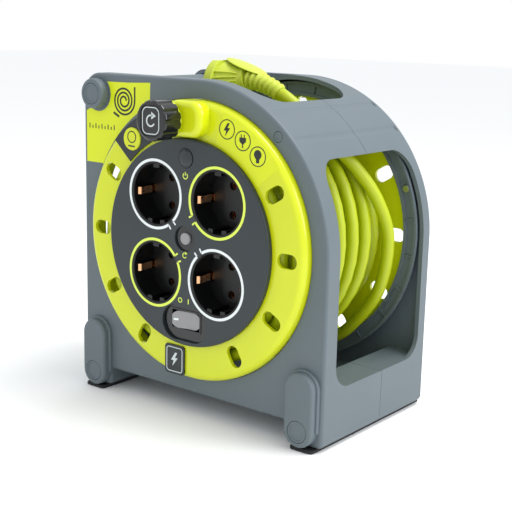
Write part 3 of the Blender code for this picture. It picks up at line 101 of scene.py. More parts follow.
def linear(hex_colour):
    """An sRGB hex colour as the linear colour that a shader takes."""
    values = [int(hex_colour[i:i + 2], 16) / 255 for i in (1, 3, 5)]
    return (*[v / 12.92 if v <= 0.04045 else ((v + 0.055) / 1.055) ** 2.4 for v in values], 1.0)


def add_node(tree, kind, inputs=(), **settings):
    """A shader node with its settings, and its inputs linked or set by name or number."""
    made = tree.nodes.new(kind)
    for setting, value in settings.items():
        setattr(made, setting, value)
    for socket, value in dict(inputs).items():
        if isinstance(value, bpy.types.NodeSocket):
            tree.links.new(value, made.inputs[socket])
        else:
            made.inputs[socket].default_value = value
    return made


def moulded(name, colour, second, roughness, grain, depth, coat=0.0, ior=1.49):
    """Moulded plastic: a fine tool texture of one grain size, which also varies the roughness,
    and a faint drift between two colours."""
    material = bpy.data.materials.new(name)
    material.use_nodes = True
    tree = material.node_tree
    shader = tree.nodes["Principled BSDF"]
    place = add_node(tree, "ShaderNodeTexCoord").outputs["Object"]
    drift = add_node(tree, "ShaderNodeTexNoise", {"Vector": place, "Scale": 1 / CLOUD, "Detail": 3.0})
    spark = add_node(tree, "ShaderNodeTexNoise", {"Vector": place, "Scale": 1 / grain, "Detail": 2.0})
    mix = add_node(tree, "ShaderNodeMix", {"Factor": drift.outputs["Fac"], "A": linear(colour),
                                           "B": linear(second)}, data_type="RGBA")
    spread = add_node(tree, "ShaderNodeMapRange", {
        "Value": spark.outputs["Fac"], "To Min": roughness - 0.06, "To Max": roughness + 0.06})
    bump = add_node(tree, "ShaderNodeBump", {"Height": spark.outputs["Fac"], "Strength": 0.6,
                                             "Distance": depth})
    tree.links.new(mix.outputs["Result"], shader.inputs["Base Color"])
    tree.links.new(spread.outputs["Result"], shader.inputs["Roughness"])
    tree.links.new(bump.outputs["Normal"], shader.inputs["Normal"])
    shader.inputs["IOR"].default_value = ior
    shader.inputs["Coat Weight"].default_value = coat
    shader.inputs["Coat Roughness"].default_value = 0.12
    return material


# Extruded PVC: smooth to the touch, with a faint cast along its length from the die
pvc_sheath = moulded("pvc_cable_sheath", "#A6B402", "#B0BE04", 0.42, 0.5 * MM, 0.02 * MM)


def on_drum(radius, angle_deg, y):
    angle = math.radians(angle_deg)
    return Vector((radius * math.cos(angle), y, radius * math.sin(angle)))


def wound_layer(radius, first_y, last_y, first_deg, turns):
    """Points of one layer, without its last one."""
    count = round(turns * STEPS_PER_TURN)
    return [on_drum(radius, first_deg + 360 * turns * k / count,
                    first_y + (last_y - first_y) * k / count) for k in range(count)]


def climb(radius, next_radius, y, first_deg):
    """The half turn in which the cable climbs onto the next layer."""
    count = STEPS_PER_TURN // 2
    return [on_drum(radius + (next_radius - radius) * k / count, first_deg + 180 * k / count, y)
            for k in range(count)]


def wound_points():
    layers = []
    angle = OUTER_START_DEG
    radius_after = OUTER_RADIUS
    outer_end_y = OUTER_START_Y + OUTER_TURNS * OUTER_PITCH
    layers.append(wound_layer(OUTER_RADIUS, OUTER_START_Y, outer_end_y, angle, OUTER_TURNS))
    for radius, first_y, last_y in reversed(INNER_LAYERS):
        radius, first_y, last_y = radius * MM, first_y * MM, last_y * MM
        turns = abs(last_y - first_y) / INNER_PITCH
        angle -= 180
        layers.append(climb(radius, radius_after, last_y, angle))
        angle -= 360 * turns
        layers.append(wound_layer(radius, first_y, last_y, angle, turns))
        radius_after = radius
    points = [point for layer in reversed(layers) for point in layer]
    end = on_drum(OUTER_RADIUS, OUTER_START_DEG + 360 * OUTER_TURNS, outer_end_y)
    for bend in range(0, 91, 15):
        turned_by = math.radians(bend)
        points.append(end + Vector((math.sin(turned_by), 1 - math.cos(turned_by), 0)) * END_BEND)
    return points + [points[-1] + Vector((0, MM, 0))]


def cable(name, points, body):
    """A length of the cable along points in the drum's frame."""
    curve = bpy.data.curves.new(name, "CURVE")
    curve.dimensions = "3D"
    curve.bevel_depth = CABLE_D / 2
    curve.bevel_resolution = 5
    curve.use_fill_caps = True
    spline = curve.splines.new("POLY")
    spline.points.add(len(points) - 1)
    for point, place in zip(spline.points, points):
        point.co = (*(REEL @ place), 1)
    spline.use_smooth = True
    made = bpy.data.objects.new(name, curve)
    bpy.context.scene.collection.objects.link(made)
    curve.materials.append(pvc_sheath)
    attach(made, body)
    return made


def length_of(points):
    return sum((b - a).length for a, b in zip(points, points[1:]))


def smooth_route(points, step):
    """Points every step along a smooth curve through the route's points."""
    ends = [2 * points[0] - points[1]] + points + [2 * points[-1] - points[-2]]
    fine = []
    for p0, p1, p2, p3 in zip(ends, ends[1:], ends[2:], ends[3:]):
        for k in range(20):
            t = k / 20
            fine.append(0.5 * (2 * p1 + (p2 - p0) * t + (2 * p0 - 5 * p1 + 4 * p2 - p3) * t * t
                               + (3 * p1 - p0 - 3 * p2 + p3) * t * t * t))
    fine.append(points[-1])
    every = max(1, round(step / (length_of(fine) / len(fine))))
    return fine[:-1:every] + [fine[-1]]


RELIEF_START = (1.4 * MM, 104.5 * MM)          # x and z of the strain relief's middle line
RELIEF_END = (28.5 * MM, 96.5 * MM)
RELIEF_TURN_DEG = (-6.0, -30.0)
PLUG_Y = 57.0 * MM


def relief_point(part):
    """Middle of the plug's strain relief, which bends down along its length."""
    start = Vector((RELIEF_START[0], PLUG_Y, RELIEF_START[1]))
    end = Vector((RELIEF_END[0], PLUG_Y, RELIEF_END[1]))
    reach = (end - start).length / 3
    slope_1, slope_2 = (math.radians(a) for a in RELIEF_TURN_DEG)
    hold_1 = start + reach * Vector((math.cos(slope_1), 0, math.sin(slope_1)))
    hold_2 = end - reach * Vector((math.cos(slope_2), 0, math.sin(slope_2)))
    rest = 1 - part
    return (rest ** 3 * start + 3 * rest * rest * part * hold_1
            + 3 * rest * part * part * hold_2 + part ** 3 * end)


wound = wound_points()
relief_way = (relief_point(1) - relief_point(0.9)).normalized()
lead_end = relief_point(1) + relief_way * 0.3 * MM
lead_route = [wound[-1] + Vector((0, 0.3 * MM, 0))]
for angle, radius, y in ((274.7, 79.2, 109), (274.9, 79.8, 111.6), (275.6, 82, 113.9),
                         (277.2, 85.2, 114.9), (280.2, 88.3, 114.3), (284.8, 90.4, 113.2),
                         (296, 90.0, 111.2), (310, 88.9, 109.4), (335, 88.6, 107), (360, 88.6, 103),
                         (378, 88.7, 94), (394, 88.8, 82), (406, 89.2, 72), (413, 91.5, 65.5),
                         (419, 95.6, 60.5)):
    lead_route.append(on_drum(radius * MM, angle, y * MM))
lead_route += [lead_end + relief_way * CABLE_D, lead_end]
lead_points = smooth_route(lead_route, 1.5 * MM)

winding = cable("wound_cable", wound, "drum")
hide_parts("cable_winding", "cable_inner_layers")
lead = cable("cable_to_plug", lead_points, "case")
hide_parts("cable_lead")


# ------------------------------------------------------------------ case covers
# Two shells of grey polypropylene, injection moulded with a fine spark-eroded texture and
# rounded outer edges. They meet on a seam half way round the band and are screwed together
# through the feet, the bar at the square corner and a post at the upper right.

polypropylene = moulded("polypropylene_grey", "#5A656B", "#606B71", 0.48, 0.45 * MM, 0.035 * MM)

CASE_RADIUS = 105.5 * MM
WALL = 3.0 * MM
FACE_Y = 7.0 * MM
SEAM_Y = 75.0 * MM
REAR_Y = 131.0 * MM
BASE_Z = -105.0 * MM
CORNER_RADIUS = 14.0 * MM
CORNER_RIM = 11.6 * MM
FOOT_X = 91.0 * MM
FOOT_RADIUS = 10.8 * MM
FOOT_TOP_Z = -69.0 * MM
FOOT_BOTTOM_Z = -118.0 * MM
FOOT_INNER_X = 80.0 * MM
FOOT_CORNER = 4.0 * MM
LEDGE_Z = -82.0 * MM
BAR_X, BAR_Z = -91.0 * MM, 91.5 * MM
BAR_RADIUS = 10.3 * MM
SIDE_X, SIDE_Z = 65.3 * MM, 74.3 * MM
HOLE_RADIUS = 93.7 * MM
BAND_STEPS = 48
OUTER_ROUNDING = 2.2 * MM
EDGE_ROUNDING = 0.55 * MM
EASED_FROM_DEG = 32              # an edge this sharp or sharper is rounded
TOP_OPENING = ((-49.8 * MM, 19 * MM), (49.8 * MM, 112 * MM))      # x and y of its corners
TOP_CORNER = 18 * MM
WINDOW = ((20 * MM, LEDGE_Z), (121 * MM, 60.5 * MM))              # y and z of its corners
WINDOW_CORNER = 15 * MM
REAR_HOLE_RADIUS = 89 * MM
FRONT_REACH = 7 * MM             # how far feet and bar end stand out of the front
REAR_REACH = 6 * MM
POST_RADIUS = 4.0 * MM
FOOT_STEP = 2.6 * MM             # of the raised lip round each foot's boss
BAND_SCOOPS_DEG = (56.8, 43.8)    # shallow hollows across the round band
SCOOP_RADIUS = 9.0 * MM
SCOOP_DEPTH = 0.5 * MM


def shape_from(bm, name="tool"):
    bmesh.ops.recalc_face_normals(bm, faces=bm.faces)
    mesh = bpy.data.meshes.new(name)
    bm.to_mesh(mesh)
    bm.free()
    made = bpy.data.objects.new(name, mesh)
    bpy.context.scene.collection.objects.link(made)
    return made


def arc(centre, radius, start_deg, end_deg, steps):
    angles = [math.radians(start_deg + (end_deg - start_deg) * i / steps) for i in range(steps + 1)]
    return [(centre[0] + radius * math.cos(a), centre[1] + radius * math.sin(a)) for a in angles]


def rounded(low, high, radius, steps=8):
    """A rectangle with round corners as an outline."""
    (x0, z0), (x1, z1) = low, high
    return (arc((x1 - radius, z0 + radius), radius, -90, 0, steps)
            + arc((x1 - radius, z1 - radius), radius, 0, 90, steps)
            + arc((x0 + radius, z1 - radius), radius, 90, 180, steps)
            + arc((x0 + radius, z0 + radius), radius, 180, 270, steps))


def rounded_about(x, z, half_width, half_height, radius, steps=8):
    return rounded((x - half_width, z - half_height), (x + half_width, z + half_height), radius, steps)


def box_outline(u0, v0, u1, v1):
    return [(u0, v0), (u1, v0), (u1, v1), (u0, v1)]


def slab_mesh(outline, start, end, axis="Y"):
    """A flat outline drawn across an axis and pushed along it from start to end."""
    bm = bmesh.new()
    order = {"Y": lambda u, v: (u, start, v), "X": lambda u, v: (start, u, v),
             "Z": lambda u, v: (u, v, start)}[axis]
    face = bm.faces.new([bm.verts.new(order(u, v)) for u, v in outline])
    pushed = bmesh.ops.extrude_face_region(bm, geom=[face], use_keep_orig=True)["geom"]
    way = {"Y": (0, 1, 0), "X": (1, 0, 0), "Z": (0, 0, 1)}[axis]
    bmesh.ops.translate(bm, vec=Vector(way) * (end - start),
                        verts=[v for v in pushed if isinstance(v, bmesh.types.BMVert)])
    bmesh.ops.recalc_face_normals(bm, faces=bm.faces)
    return bm


def slab(outline, start, end, axis="Y", rounding=0.0, rounded_end=None, segments=4):
    """A slab whose edge at one end, or at both ends, is rounded."""
    bm = slab_mesh(outline, start, end, axis)
    if rounding:
        i = "XYZ".index(axis)
        rims = [e for e in bm.edges if all(
            abs(v.co[i] - (rounded_end if rounded_end is not None else e.verts[0].co[i])) < 1e-6
            for v in e.verts)]
        bmesh.ops.bevel(bm, geom=rims, offset=rounding, offset_type="OFFSET", segments=segments,
                        profile=0.5, affect="EDGES", material=-1, clamp_overlap=True)
    return shape_from(bm)


def rod(radius, start_y, end_y, x=0.0, z=0.0, sides=48, rounding=0.0):
    """A round bar along Y, its front edge rounded where that is asked."""
    bm = bmesh.new()
    place = Matrix.Translation((x, (start_y + end_y) / 2, z)) @ Matrix.Rotation(math.pi / 2, 4, "X")
    bmesh.ops.create_cone(bm, cap_ends=True, segments=sides, radius1=radius, radius2=radius,
                          depth=end_y - start_y, matrix=place)
    if rounding:
        rims = [e for e in bm.edges if all(abs(v.co.y - start_y) < 1e-6 for v in e.verts)]
        bmesh.ops.bevel(bm, geom=rims, offset=rounding, offset_type="OFFSET", segments=4,
                        profile=0.5, affect="EDGES", material=-1, clamp_overlap=True)
    return shape_from(bm)


def use_tools(shape, operation, *tools):
    for tool in tools:
        modifier = shape.modifiers.new(operation.lower(), "BOOLEAN")
        modifier.operation = operation
        modifier.object = tool
        modifier.solver = "EXACT"
    return shape


def join(shape, *tools):
    return use_tools(shape, "UNION", *tools)


def cut(shape, *tools):
    return use_tools(shape, "DIFFERENCE", *tools)


def settle(shape):
    """Works the modifiers into the mesh and removes the tools that they used."""
    graph = bpy.context.evaluated_depsgraph_get()
    mesh = bpy.data.meshes.new_from_object(shape.evaluated_get(graph))
    tools = [m.object for m in shape.modifiers if m.type == "BOOLEAN"]
    shape.modifiers.clear()
    shape.data = mesh
    for tool in tools:
        bpy.data.objects.remove(tool)
    return shape


def ease(shape, width, segments=2):
    """Rounds every sharp edge a little, as a mould does."""
    settle(shape)
    bm = bmesh.new()
    bm.from_mesh(shape.data)
    bmesh.ops.remove_doubles(bm, verts=bm.verts, dist=0.01 * MM)
    bmesh.ops.dissolve_limit(bm, angle_limit=math.radians(0.5), verts=bm.verts, edges=bm.edges)
    bm.to_mesh(shape.data)
    bm.free()
    bevel = shape.modifiers.new("ease", "BEVEL")
    bevel.width = width
    bevel.segments = segments
    bevel.limit_method = "ANGLE"
    bevel.angle_limit = math.radians(EASED_FROM_DEG)
    bevel.use_clamp_overlap = True
    return settle(shape)


def place(shape, name, material, body, slot, *nodes):
    """Names a finished shape, moves it onto the reel and lets it ride on its body."""
    settle(shape)
    shape.name = name
    shape.data.name = name
    shape.data.transform(REEL)
    shape.data.materials.clear()
    shape.data.materials.append(material)
    shape.data.shade_smooth()
    shape.data.set_sharp_from_angle(angle=math.radians(38))
    weigh = shape.modifiers.new("weigh", "WEIGHTED_NORMAL")
    weigh.keep_sharp = True
    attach(shape, body)
    if nodes:
        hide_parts(*nodes)
    return shape


def case_outline():
    middle = CASE_RADIUS - CORNER_RADIUS
    low_z = FOOT_BOTTOM_Z + FOOT_CORNER
    return (arc((-FOOT_INNER_X - FOOT_CORNER, low_z), FOOT_CORNER, -90, 0, 5)
            + [(-FOOT_INNER_X, BASE_Z), (FOOT_INNER_X, BASE_Z)]
            + arc((FOOT_INNER_X + FOOT_CORNER, low_z), FOOT_CORNER, 180, 270, 5)
            + arc((CASE_RADIUS - FOOT_CORNER, low_z), FOOT_CORNER, -90, 0, 5)
            + arc((0, 0), CASE_RADIUS, 0, 90, BAND_STEPS)
            + arc((-middle, middle), CORNER_RADIUS, 90, 180, 10)
            + arc((FOOT_CORNER - CASE_RADIUS, low_z), FOOT_CORNER, 180, 270, 5))


def hollow_outline():
    inside = CASE_RADIUS - WALL
    return ([(-FOOT_INNER_X, BASE_Z + WALL), (FOOT_INNER_X, BASE_Z + WALL),
             (FOOT_INNER_X, LEDGE_Z), (inside, LEDGE_Z - 0.3 * MM)]
            + arc((0, 0), inside, 0, 180, 2 * BAND_STEPS)
            + [(-inside, LEDGE_Z - 0.3 * MM), (-FOOT_INNER_X, LEDGE_Z)])


def pocket_outline():
    band = CASE_RADIUS + 0.3 * MM
    inside = CASE_RADIUS - WALL
    lean = math.degrees(math.acos(inside / band))
    middle = CASE_RADIUS - CORNER_RADIUS
    return (arc((0, 0), band, 180 - lean, 90 + lean, BAND_STEPS)
            + arc((-middle, middle), CORNER_RADIUS - WALL, 90, 180, 8))


def foot_outline(side, spread=0.0, cut_z=None):
    x = side * FOOT_X
    radius = FOOT_RADIUS + spread
    top = arc((x, FOOT_TOP_Z - FOOT_RADIUS), radius, 0, 180, 20)
    if cut_z is not None:
        return [(x - radius, cut_z), (x + radius, cut_z)] + top
    return arc((x, FOOT_BOTTOM_Z + FOOT_RADIUS + 0.1 * MM), radius, 180, 360, 20) + top


def make_cover(face_y, seam_y, reach, hole_radius):
    """A cover from its outer face to the seam, with its feet, bar end and openings."""
    inward = 1 if seam_y > face_y else -1

    def span(first, second):
        low, high = sorted((face_y + inward * first, face_y + inward * second))
        return low, high

    depth = abs(seam_y - face_y)
    cover = slab(case_outline(), *span(0, depth), rounding=OUTER_ROUNDING, rounded_end=face_y)
    cut(cover, slab(hollow_outline(), *span(WALL, depth + WALL)))
    outside = CASE_RADIUS + WALL
    cut(cover, slab([(-outside, 0)] + arc((0, 0), CASE_RADIUS, 180, 90, BAND_STEPS)
                    + [(0, outside), (-outside, outside)], *span(CORNER_RIM, depth + WALL)))
    cut(cover, slab(pocket_outline(), *span(WALL, depth + WALL)))
    for side in (-1, 1):
        inner_x, outer_x = sorted((side * (FOOT_INNER_X + WALL), side * (CASE_RADIUS - WALL)))
        cut(cover, slab(box_outline(inner_x, FOOT_BOTTOM_Z + WALL, outer_x, LEDGE_Z - WALL),
                        *span(WALL, depth + WALL)))
        tip = face_y - inward * reach
        join(cover, slab(foot_outline(side, 1.5 * MM, FOOT_BOTTOM_Z + FOOT_RADIUS),
                         *span(-FOOT_STEP, 1 * MM), rounding=1.0 * MM,
                         rounded_end=face_y - inward * FOOT_STEP))
        join(cover, slab(foot_outline(side), *span(-reach, WALL / 2), rounding=2.0 * MM, rounded_end=tip))
    low, high = span(-reach, CORNER_RIM)
    boss = slab(arc((BAR_X, BAR_Z), BAR_RADIUS, 0, 360, 56)[:-1], low, high, rounding=1.6 * MM,
                rounded_end=face_y - inward * reach)
    join(cover, boss)
    join(cover, rod(POST_RADIUS, *span(WALL / 2, depth - 0.1 * MM), SIDE_X, SIDE_Z, 20))
    cut(cover, rod(hole_radius, *span(-reach - WALL, 2 * WALL), sides=220))
    within = CASE_RADIUS * 0.6
    cut(cover, slab(rounded(*TOP_OPENING, TOP_CORNER, 14), within, outside, "Z"))
    for low_x, high_x in ((within, outside), (-outside, -within)):
        cut(cover, slab(rounded(*WINDOW, WINDOW_CORNER, 12), low_x, high_x, "X"))
    for angle in BAND_SCOOPS_DEG:
        middle = on_drum(CASE_RADIUS + SCOOP_RADIUS - SCOOP_DEPTH, angle, 0)
        cut(cover, rod(SCOOP_RADIUS, *span(OUTER_ROUNDING * 2, depth + WALL), middle.x, middle.z, 72))
    return cover


front = make_cover(FACE_Y, SEAM_Y - 0.15 * MM, FRONT_REACH, HOLE_RADIUS)
CAPS = [("left_foot", -FOOT_X, FOOT_BOTTOM_Z + FOOT_RADIUS, 7.0 * MM, 0.0),
        ("right_foot", FOOT_X, FOOT_BOTTOM_Z + FOOT_RADIUS, 7.0 * MM, 0.0),
        ("corner", BAR_X, BAR_Z, 7.0 * MM, 0.0), ("right", SIDE_X, SIDE_Z, 3.2 * MM, FACE_Y)]
for cap_name, x, z, radius, face in CAPS:
    cut(front, rod(radius + 0.3 * MM, face - MM, face + 1.9 * MM, x, z, 48))
    cut(front, rod(radius - 0.9 * MM, face, face + 12 * MM, x, z, 24))
place(ease(front, EDGE_ROUNDING), "case_front_cover", polypropylene, "case", "case_grey",
      "front_cover")

rear = make_cover(REAR_Y, SEAM_Y + 0.15 * MM, REAR_REACH, REAR_HOLE_RADIUS)
place(ease(rear, EDGE_ROUNDING), "case_rear_cover", polypropylene, "case", "case_grey", "rear_cover")


# ------------------------------------------------------------------ drum retainer in the rear cover
# The collar round the rear opening and the flat ring screwed on it, which holds the drum's rear
# flange. Both are of the case's polypropylene, ribbed to stay flat.

def turned(profile, steps=128):
    """A closed profile of (radius, y) points turned round the drum's axis."""
    bm = bmesh.new()
    verts = [bm.verts.new((radius, y, 0)) for radius, y in profile]
    edges = [bm.edges.new(pair) for pair in zip(verts, verts[1:] + verts[:1])]
    bmesh.ops.spin(bm, geom=verts + edges, cent=(0, 0, 0), axis=(0, 1, 0), angle=2 * math.pi,
                   steps=steps, use_merge=True)
    bmesh.ops.remove_doubles(bm, verts=bm.verts, dist=0.001 * MM)
    return shape_from(bm)


KEEPER_FRONT = 118.5 * MM
KEEPER_REAR = 121.0 * MM
collar = turned(box_outline(93.7 * MM, 121.4 * MM, 96.2 * MM, 128.5 * MM))
place(ease(collar, 0.3 * MM, 1), "drum_collar", polypropylene, "case", "case_grey")

keeper = turned(box_outline(91 * MM, KEEPER_FRONT, 101 * MM, KEEPER_REAR))
cut(keeper, turned(box_outline(93.2 * MM, KEEPER_FRONT - MM, 99 * MM, KEEPER_FRONT + 1.2 * MM)))
KEEPER_RIBS = 24
for k in range(KEEPER_RIBS):
    rib = slab(box_outline(92.5 * MM, -0.5 * MM, 99.6 * MM, 0.5 * MM),
               KEEPER_FRONT, KEEPER_REAR - 0.5 * MM)
    rib.data.transform(Matrix.Rotation(2 * math.pi * (k + 0.5) / KEEPER_RIBS, 4, "Y"))
    join(keeper, rib)
cut(keeper, rod(4.6 * MM, KEEPER_FRONT - MM, KEEPER_REAR + MM, SIDE_X, SIDE_Z, 32))
place(ease(keeper, 0.25 * MM, 1), "keeper_ring", polypropylene, "case", "case_grey", "drum_keeper")


# ------------------------------------------------------------------ case fittings
# The grip bar that ties the covers at the square corner, the caps pressed into the screw wells,
# the rubber strips glued under the feet, and the printed film label at the upper left.

bar = rod(BAR_RADIUS, FACE_Y + CORNER_RIM + 0.3 * MM, REAR_Y - CORNER_RIM - 0.3 * MM, BAR_X, BAR_Z, 64)
place(ease(bar, 0.6 * MM), "grip_bar", polypropylene, "case", "case_grey", "carry_bar")

for cap_name, x, z, radius, face in CAPS:
    cap = rod(radius, face, face + 1.6 * MM, x, z, 48)
    cut(cap, rod(radius - 1.3 * MM, face - MM, face + 0.4 * MM, x, z, 48))
    place(ease(cap, 0.3 * MM), f"cap_{cap_name}", polypropylene, "case", "case_grey",
          f"screw_cap_{cap_name}")

# Moulded rubber with a dry, slightly mottled skin
pad_rubber = moulded("black_rubber", "#17191A", "#1F2122", 0.78, 0.7 * MM, 0.03 * MM)
PAD_X = 92.5 * MM
PAD_HALF_WIDTH = 9 * MM
for side, side_name in ((-1, "left"), (1, "right")):
    x = side * PAD_X
    pad = slab(rounded((x - PAD_HALF_WIDTH, 2 * MM), (x + PAD_HALF_WIDTH, 135 * MM), 3 * MM),
               -120.5 * MM, -118.3 * MM, "Z")
    place(ease(pad, 0.5 * MM), f"rubber_pad_{side_name}", pad_rubber, "case", "rubber",
          f"foot_pad_{side_name}")

FILM = 0.12 * MM
FILM_BITE = 0.05 * MM


def printed(name, colour, roughness=0.38):
    """Ink or film printed flat, with a faint unevenness of its gloss."""
    return moulded(name, colour, colour, roughness, 1.5 * MM, 0.002 * MM)


def ribbon(points, width):
    """The outline of a line of even width along points in mm."""
    count = len(points)
    left, right = [], []
    for i, (x, z) in enumerate(points):
        before = points[max(i - 1, 0)]
        after = points[min(i + 1, count - 1)]
        dx, dz = after[0] - before[0], after[1] - before[1]
        size = math.hypot(dx, dz)
        off_x, off_z = -dz / size * width / 2, dx / size * width / 2
        left.append(((x + off_x) * MM, (z + off_z) * MM))
        right.append(((x - off_x) * MM, (z - off_z) * MM))
    return left + right[::-1]


def print_marks(name, outlines, face_y, material, body, slot):
    """Flat marks standing a film's thickness out of a face."""
    bm = bmesh.new()
    for outline in outlines:
        part = slab_mesh(outline, face_y - FILM, face_y + FILM_BITE)
        mesh = bpy.data.meshes.new("mark")
        part.to_mesh(mesh)
        part.free()
        bm.from_mesh(mesh)
        bpy.data.meshes.remove(mesh)
    mesh = bpy.data.meshes.new(name)
    bm.to_mesh(mesh)
    bm.free()
    made = bpy.data.objects.new(name, mesh)
    bpy.context.scene.collection.objects.link(made)
    return place(made, name, material, body, slot)


def ring_parts(x, z, radius, width, start_deg=0.0, end_deg=360.0, pieces=2):
    """A printed ring or arc, as open ribbons that meet end to end."""
    parts = []
    for k in range(pieces):
        first = start_deg + (end_deg - start_deg) * k / pieces
        last = start_deg + (end_deg - start_deg) * (k + 1) / pieces
        parts.append(ribbon(arc((x, z), radius, first, last, 28), width))
    return parts


def polygon(points, x=0.0, z=0.0, scale=1.0):
    return [((x + scale * u) * MM, (z + scale * v) * MM) for u, v in points]


lime_film = printed("lime_label_film", "#D6E10E", 0.3)
dark_ink = printed("dark_ink", "#1D2419")
label = polygon([(-102.6, 43.5), (-87.2, 43.5)] + arc((0, 0), 96.4, 153.6, 115.8, 30)
                + [(-41.6, 101.2), (-62, 100.2)] + arc((-91, 91.5), 12.2, 44, -125, 26)
                + [(-102.6, 79)])
print_marks("label_film", [label], FACE_Y, lime_film, "case", "drum_lime")
spiral = [(-66 + (2.0 + 0.0075 * a) * math.cos(math.radians(a)),
           88 + (2.0 + 0.0075 * a) * math.sin(math.radians(a))) for a in range(0, 1081, 15)]
coil_mark = [ribbon(spiral, 1.3), ribbon([(-55.9, 88), (-55.9, 97.5)], 1.3),
             ribbon([(-76, 79.5), (-70.6, 76.8)], 1.6)]
for k in range(9):
    x = -99.5 + 3.0 * k
    coil_mark.append(ribbon([(x, 67.2), (x, 70.6 - 1.3 * (k % 2))], 0.8))
print_marks("label_coil_mark", coil_mark, FACE_Y - FILM, dark_ink, "case", "black_plastic")


# ------------------------------------------------------------------ drum
# The winding drum is two glossy lime ABS mouldings: the ring that shows in front, with its
# radial slots and the raised pod that carries the knob, and the hub with the slotted rear flange.

abs_lime = moulded("abs_lime", "#CCD608", "#D2DC0C", 0.24, 1.2 * MM, 0.006 * MM, coat=0.25)

DRUM_RADIUS = 93.2 * MM
RIM_ROUNDING = 5.0 * MM
RIM_DEPTH = 13.0 * MM
RIM_WALL = 2.6 * MM
SHOULDER_RADIUS = 64.6 * MM
SHOULDER_INNER = 62.2 * MM
SHOULDER_DEPTH = 19.0 * MM
SHOULDER_STEP = 16.6 * MM
HUB_RADIUS = 57.0 * MM
HUB_INNER = 54.5 * MM
SLOT_RADIUS = 79.8 * MM
SLOT_HALF = 2.8 * MM
SLOT_ROUND = 4.7 * MM
KNOB_X, KNOB_Z = -10.0 * MM, 80.4 * MM
KNOB_FRONT = -26.0 * MM
KNOB_BACK = -11.5 * MM


def slot_tools(start, end, angles, radius=SLOT_RADIUS):
    tools = []
    for angle in angles:
        outline = (arc((radius + SLOT_HALF, 0), SLOT_ROUND, -90, 90, 14)
                   + arc((radius - SLOT_HALF, 0), SLOT_ROUND, 90, 270, 14))
        tool = slab(outline, start, end)
        tool.data.transform(Matrix.Rotation(math.radians(-angle), 4, "Y"))
        tools.append(tool)
    return tools


rim_middle = DRUM_RADIUS - RIM_ROUNDING
rim_curve = [(r, RIM_ROUNDING + y) for r, y in arc((rim_middle, 0), RIM_ROUNDING, -90, 0, 8)]
ring = turned([(SHOULDER_INNER, 0)] + rim_curve
              + [(DRUM_RADIUS, RIM_DEPTH), (DRUM_RADIUS - RIM_WALL, RIM_DEPTH),
                 (DRUM_RADIUS - RIM_WALL, RIM_ROUNDING + MM), (rim_middle, 2.6 * MM),
                 (SHOULDER_RADIUS, 2.6 * MM), (SHOULDER_RADIUS, SHOULDER_DEPTH),
                 (HUB_INNER, SHOULDER_DEPTH), (HUB_INNER, SHOULDER_STEP),
                 (SHOULDER_INNER, SHOULDER_STEP)], 160)
POD_FACE = -9.5 * MM
join(ring, slab(rounded((-14 * MM, 69.7 * MM), (16.5 * MM, 93.0 * MM), 9 * MM, 12), POD_FACE, MM,
                rounding=4.5 * MM, rounded_end=POD_FACE, segments=7))
join(ring, rod(11.6 * MM, -11.2 * MM, MM, KNOB_X, KNOB_Z, 64, 1.5 * MM))
boss = on_drum(81.2 * MM, 128, 0)
join(ring, rod(7.7 * MM, -2.2 * MM, MM, boss.x, boss.z, 48, 0.7 * MM))
UNSLOTTED_DEG = (60, 90, 120, 270)     # film, pod, plate and badge take these places
cut(ring, *slot_tools(-MM, RIM_DEPTH, [a for a in range(0, 360, 30) if a not in UNSLOTTED_DEG]))
cut(ring, rod(3.0 * MM, -12 * MM, -2.1 * MM, KNOB_X, KNOB_Z, 24))
place(ease(ring, 0.6 * MM, 3), "drum_ring", abs_lime, "drum", "drum_lime", "drum_front_flange")

HUB_FRONT = SHOULDER_DEPTH + 0.3 * MM
FLANGE_FRONT = 121.5 * MM
FLANGE_BACK = 124 * MM
FLANGE_RIM_BACK = 127.5 * MM
hub = turned([(HUB_INNER, HUB_FRONT), (HUB_RADIUS, HUB_FRONT), (HUB_RADIUS, FLANGE_FRONT),
              (DRUM_RADIUS, FLANGE_FRONT), (DRUM_RADIUS, FLANGE_RIM_BACK),
              (DRUM_RADIUS - RIM_WALL, FLANGE_RIM_BACK), (DRUM_RADIUS - RIM_WALL, FLANGE_BACK),
              (HUB_INNER, FLANGE_BACK)], 160)
join(hub, rod(55.8 * MM, 100 * MM, 102.5 * MM, sides=96))
for x in (-9.5 * MM, 9.5 * MM):
    join(hub, rod(3.0 * MM, 101 * MM, 109 * MM, x, -38 * MM, 24))
cut(hub, *slot_tools(120 * MM, 129 * MM, range(0, 360, 30), SLOT_RADIUS + 3 * MM))
place(ease(hub, 0.6 * MM), "drum_hub_and_flange", abs_lime, "drum", "drum_lime", "drum_hub")

# The dark sector plate beside the knob, its ring mark on the lime boss, and the badge below
satin_black = moulded("satin_black_film", "#22272A", "#262B2E", 0.42, 0.8 * MM, 0.006 * MM)
sector = slab([(r * math.cos(math.radians(a)), r * math.sin(math.radians(a)))
               for r, a in [(91 * MM, 108.5 + 28.5 * k / 24) for k in range(25)]
               + [(71.4 * MM, 137 - 28.5 * k / 24) for k in range(25)]], -1.3 * MM, -0.3 * MM)
cut(sector, rod(7.9 * MM, -2 * MM, MM, boss.x, boss.z, 48))
place(ease(sector, 0.25 * MM), "sector_plate", satin_black, "drum", "black_plastic", "crank_plate")
x, z = boss.x / MM, boss.z / MM
print_marks("boss_ring_mark", ring_parts(x + 0.2, z + 1.4, 3.7, 0.7)
            + [ribbon([(x - 3, z - 4.6), (x + 3, z - 4.9)], 0.9)],
            -2.2 * MM, dark_ink, "drum", "black_plastic")

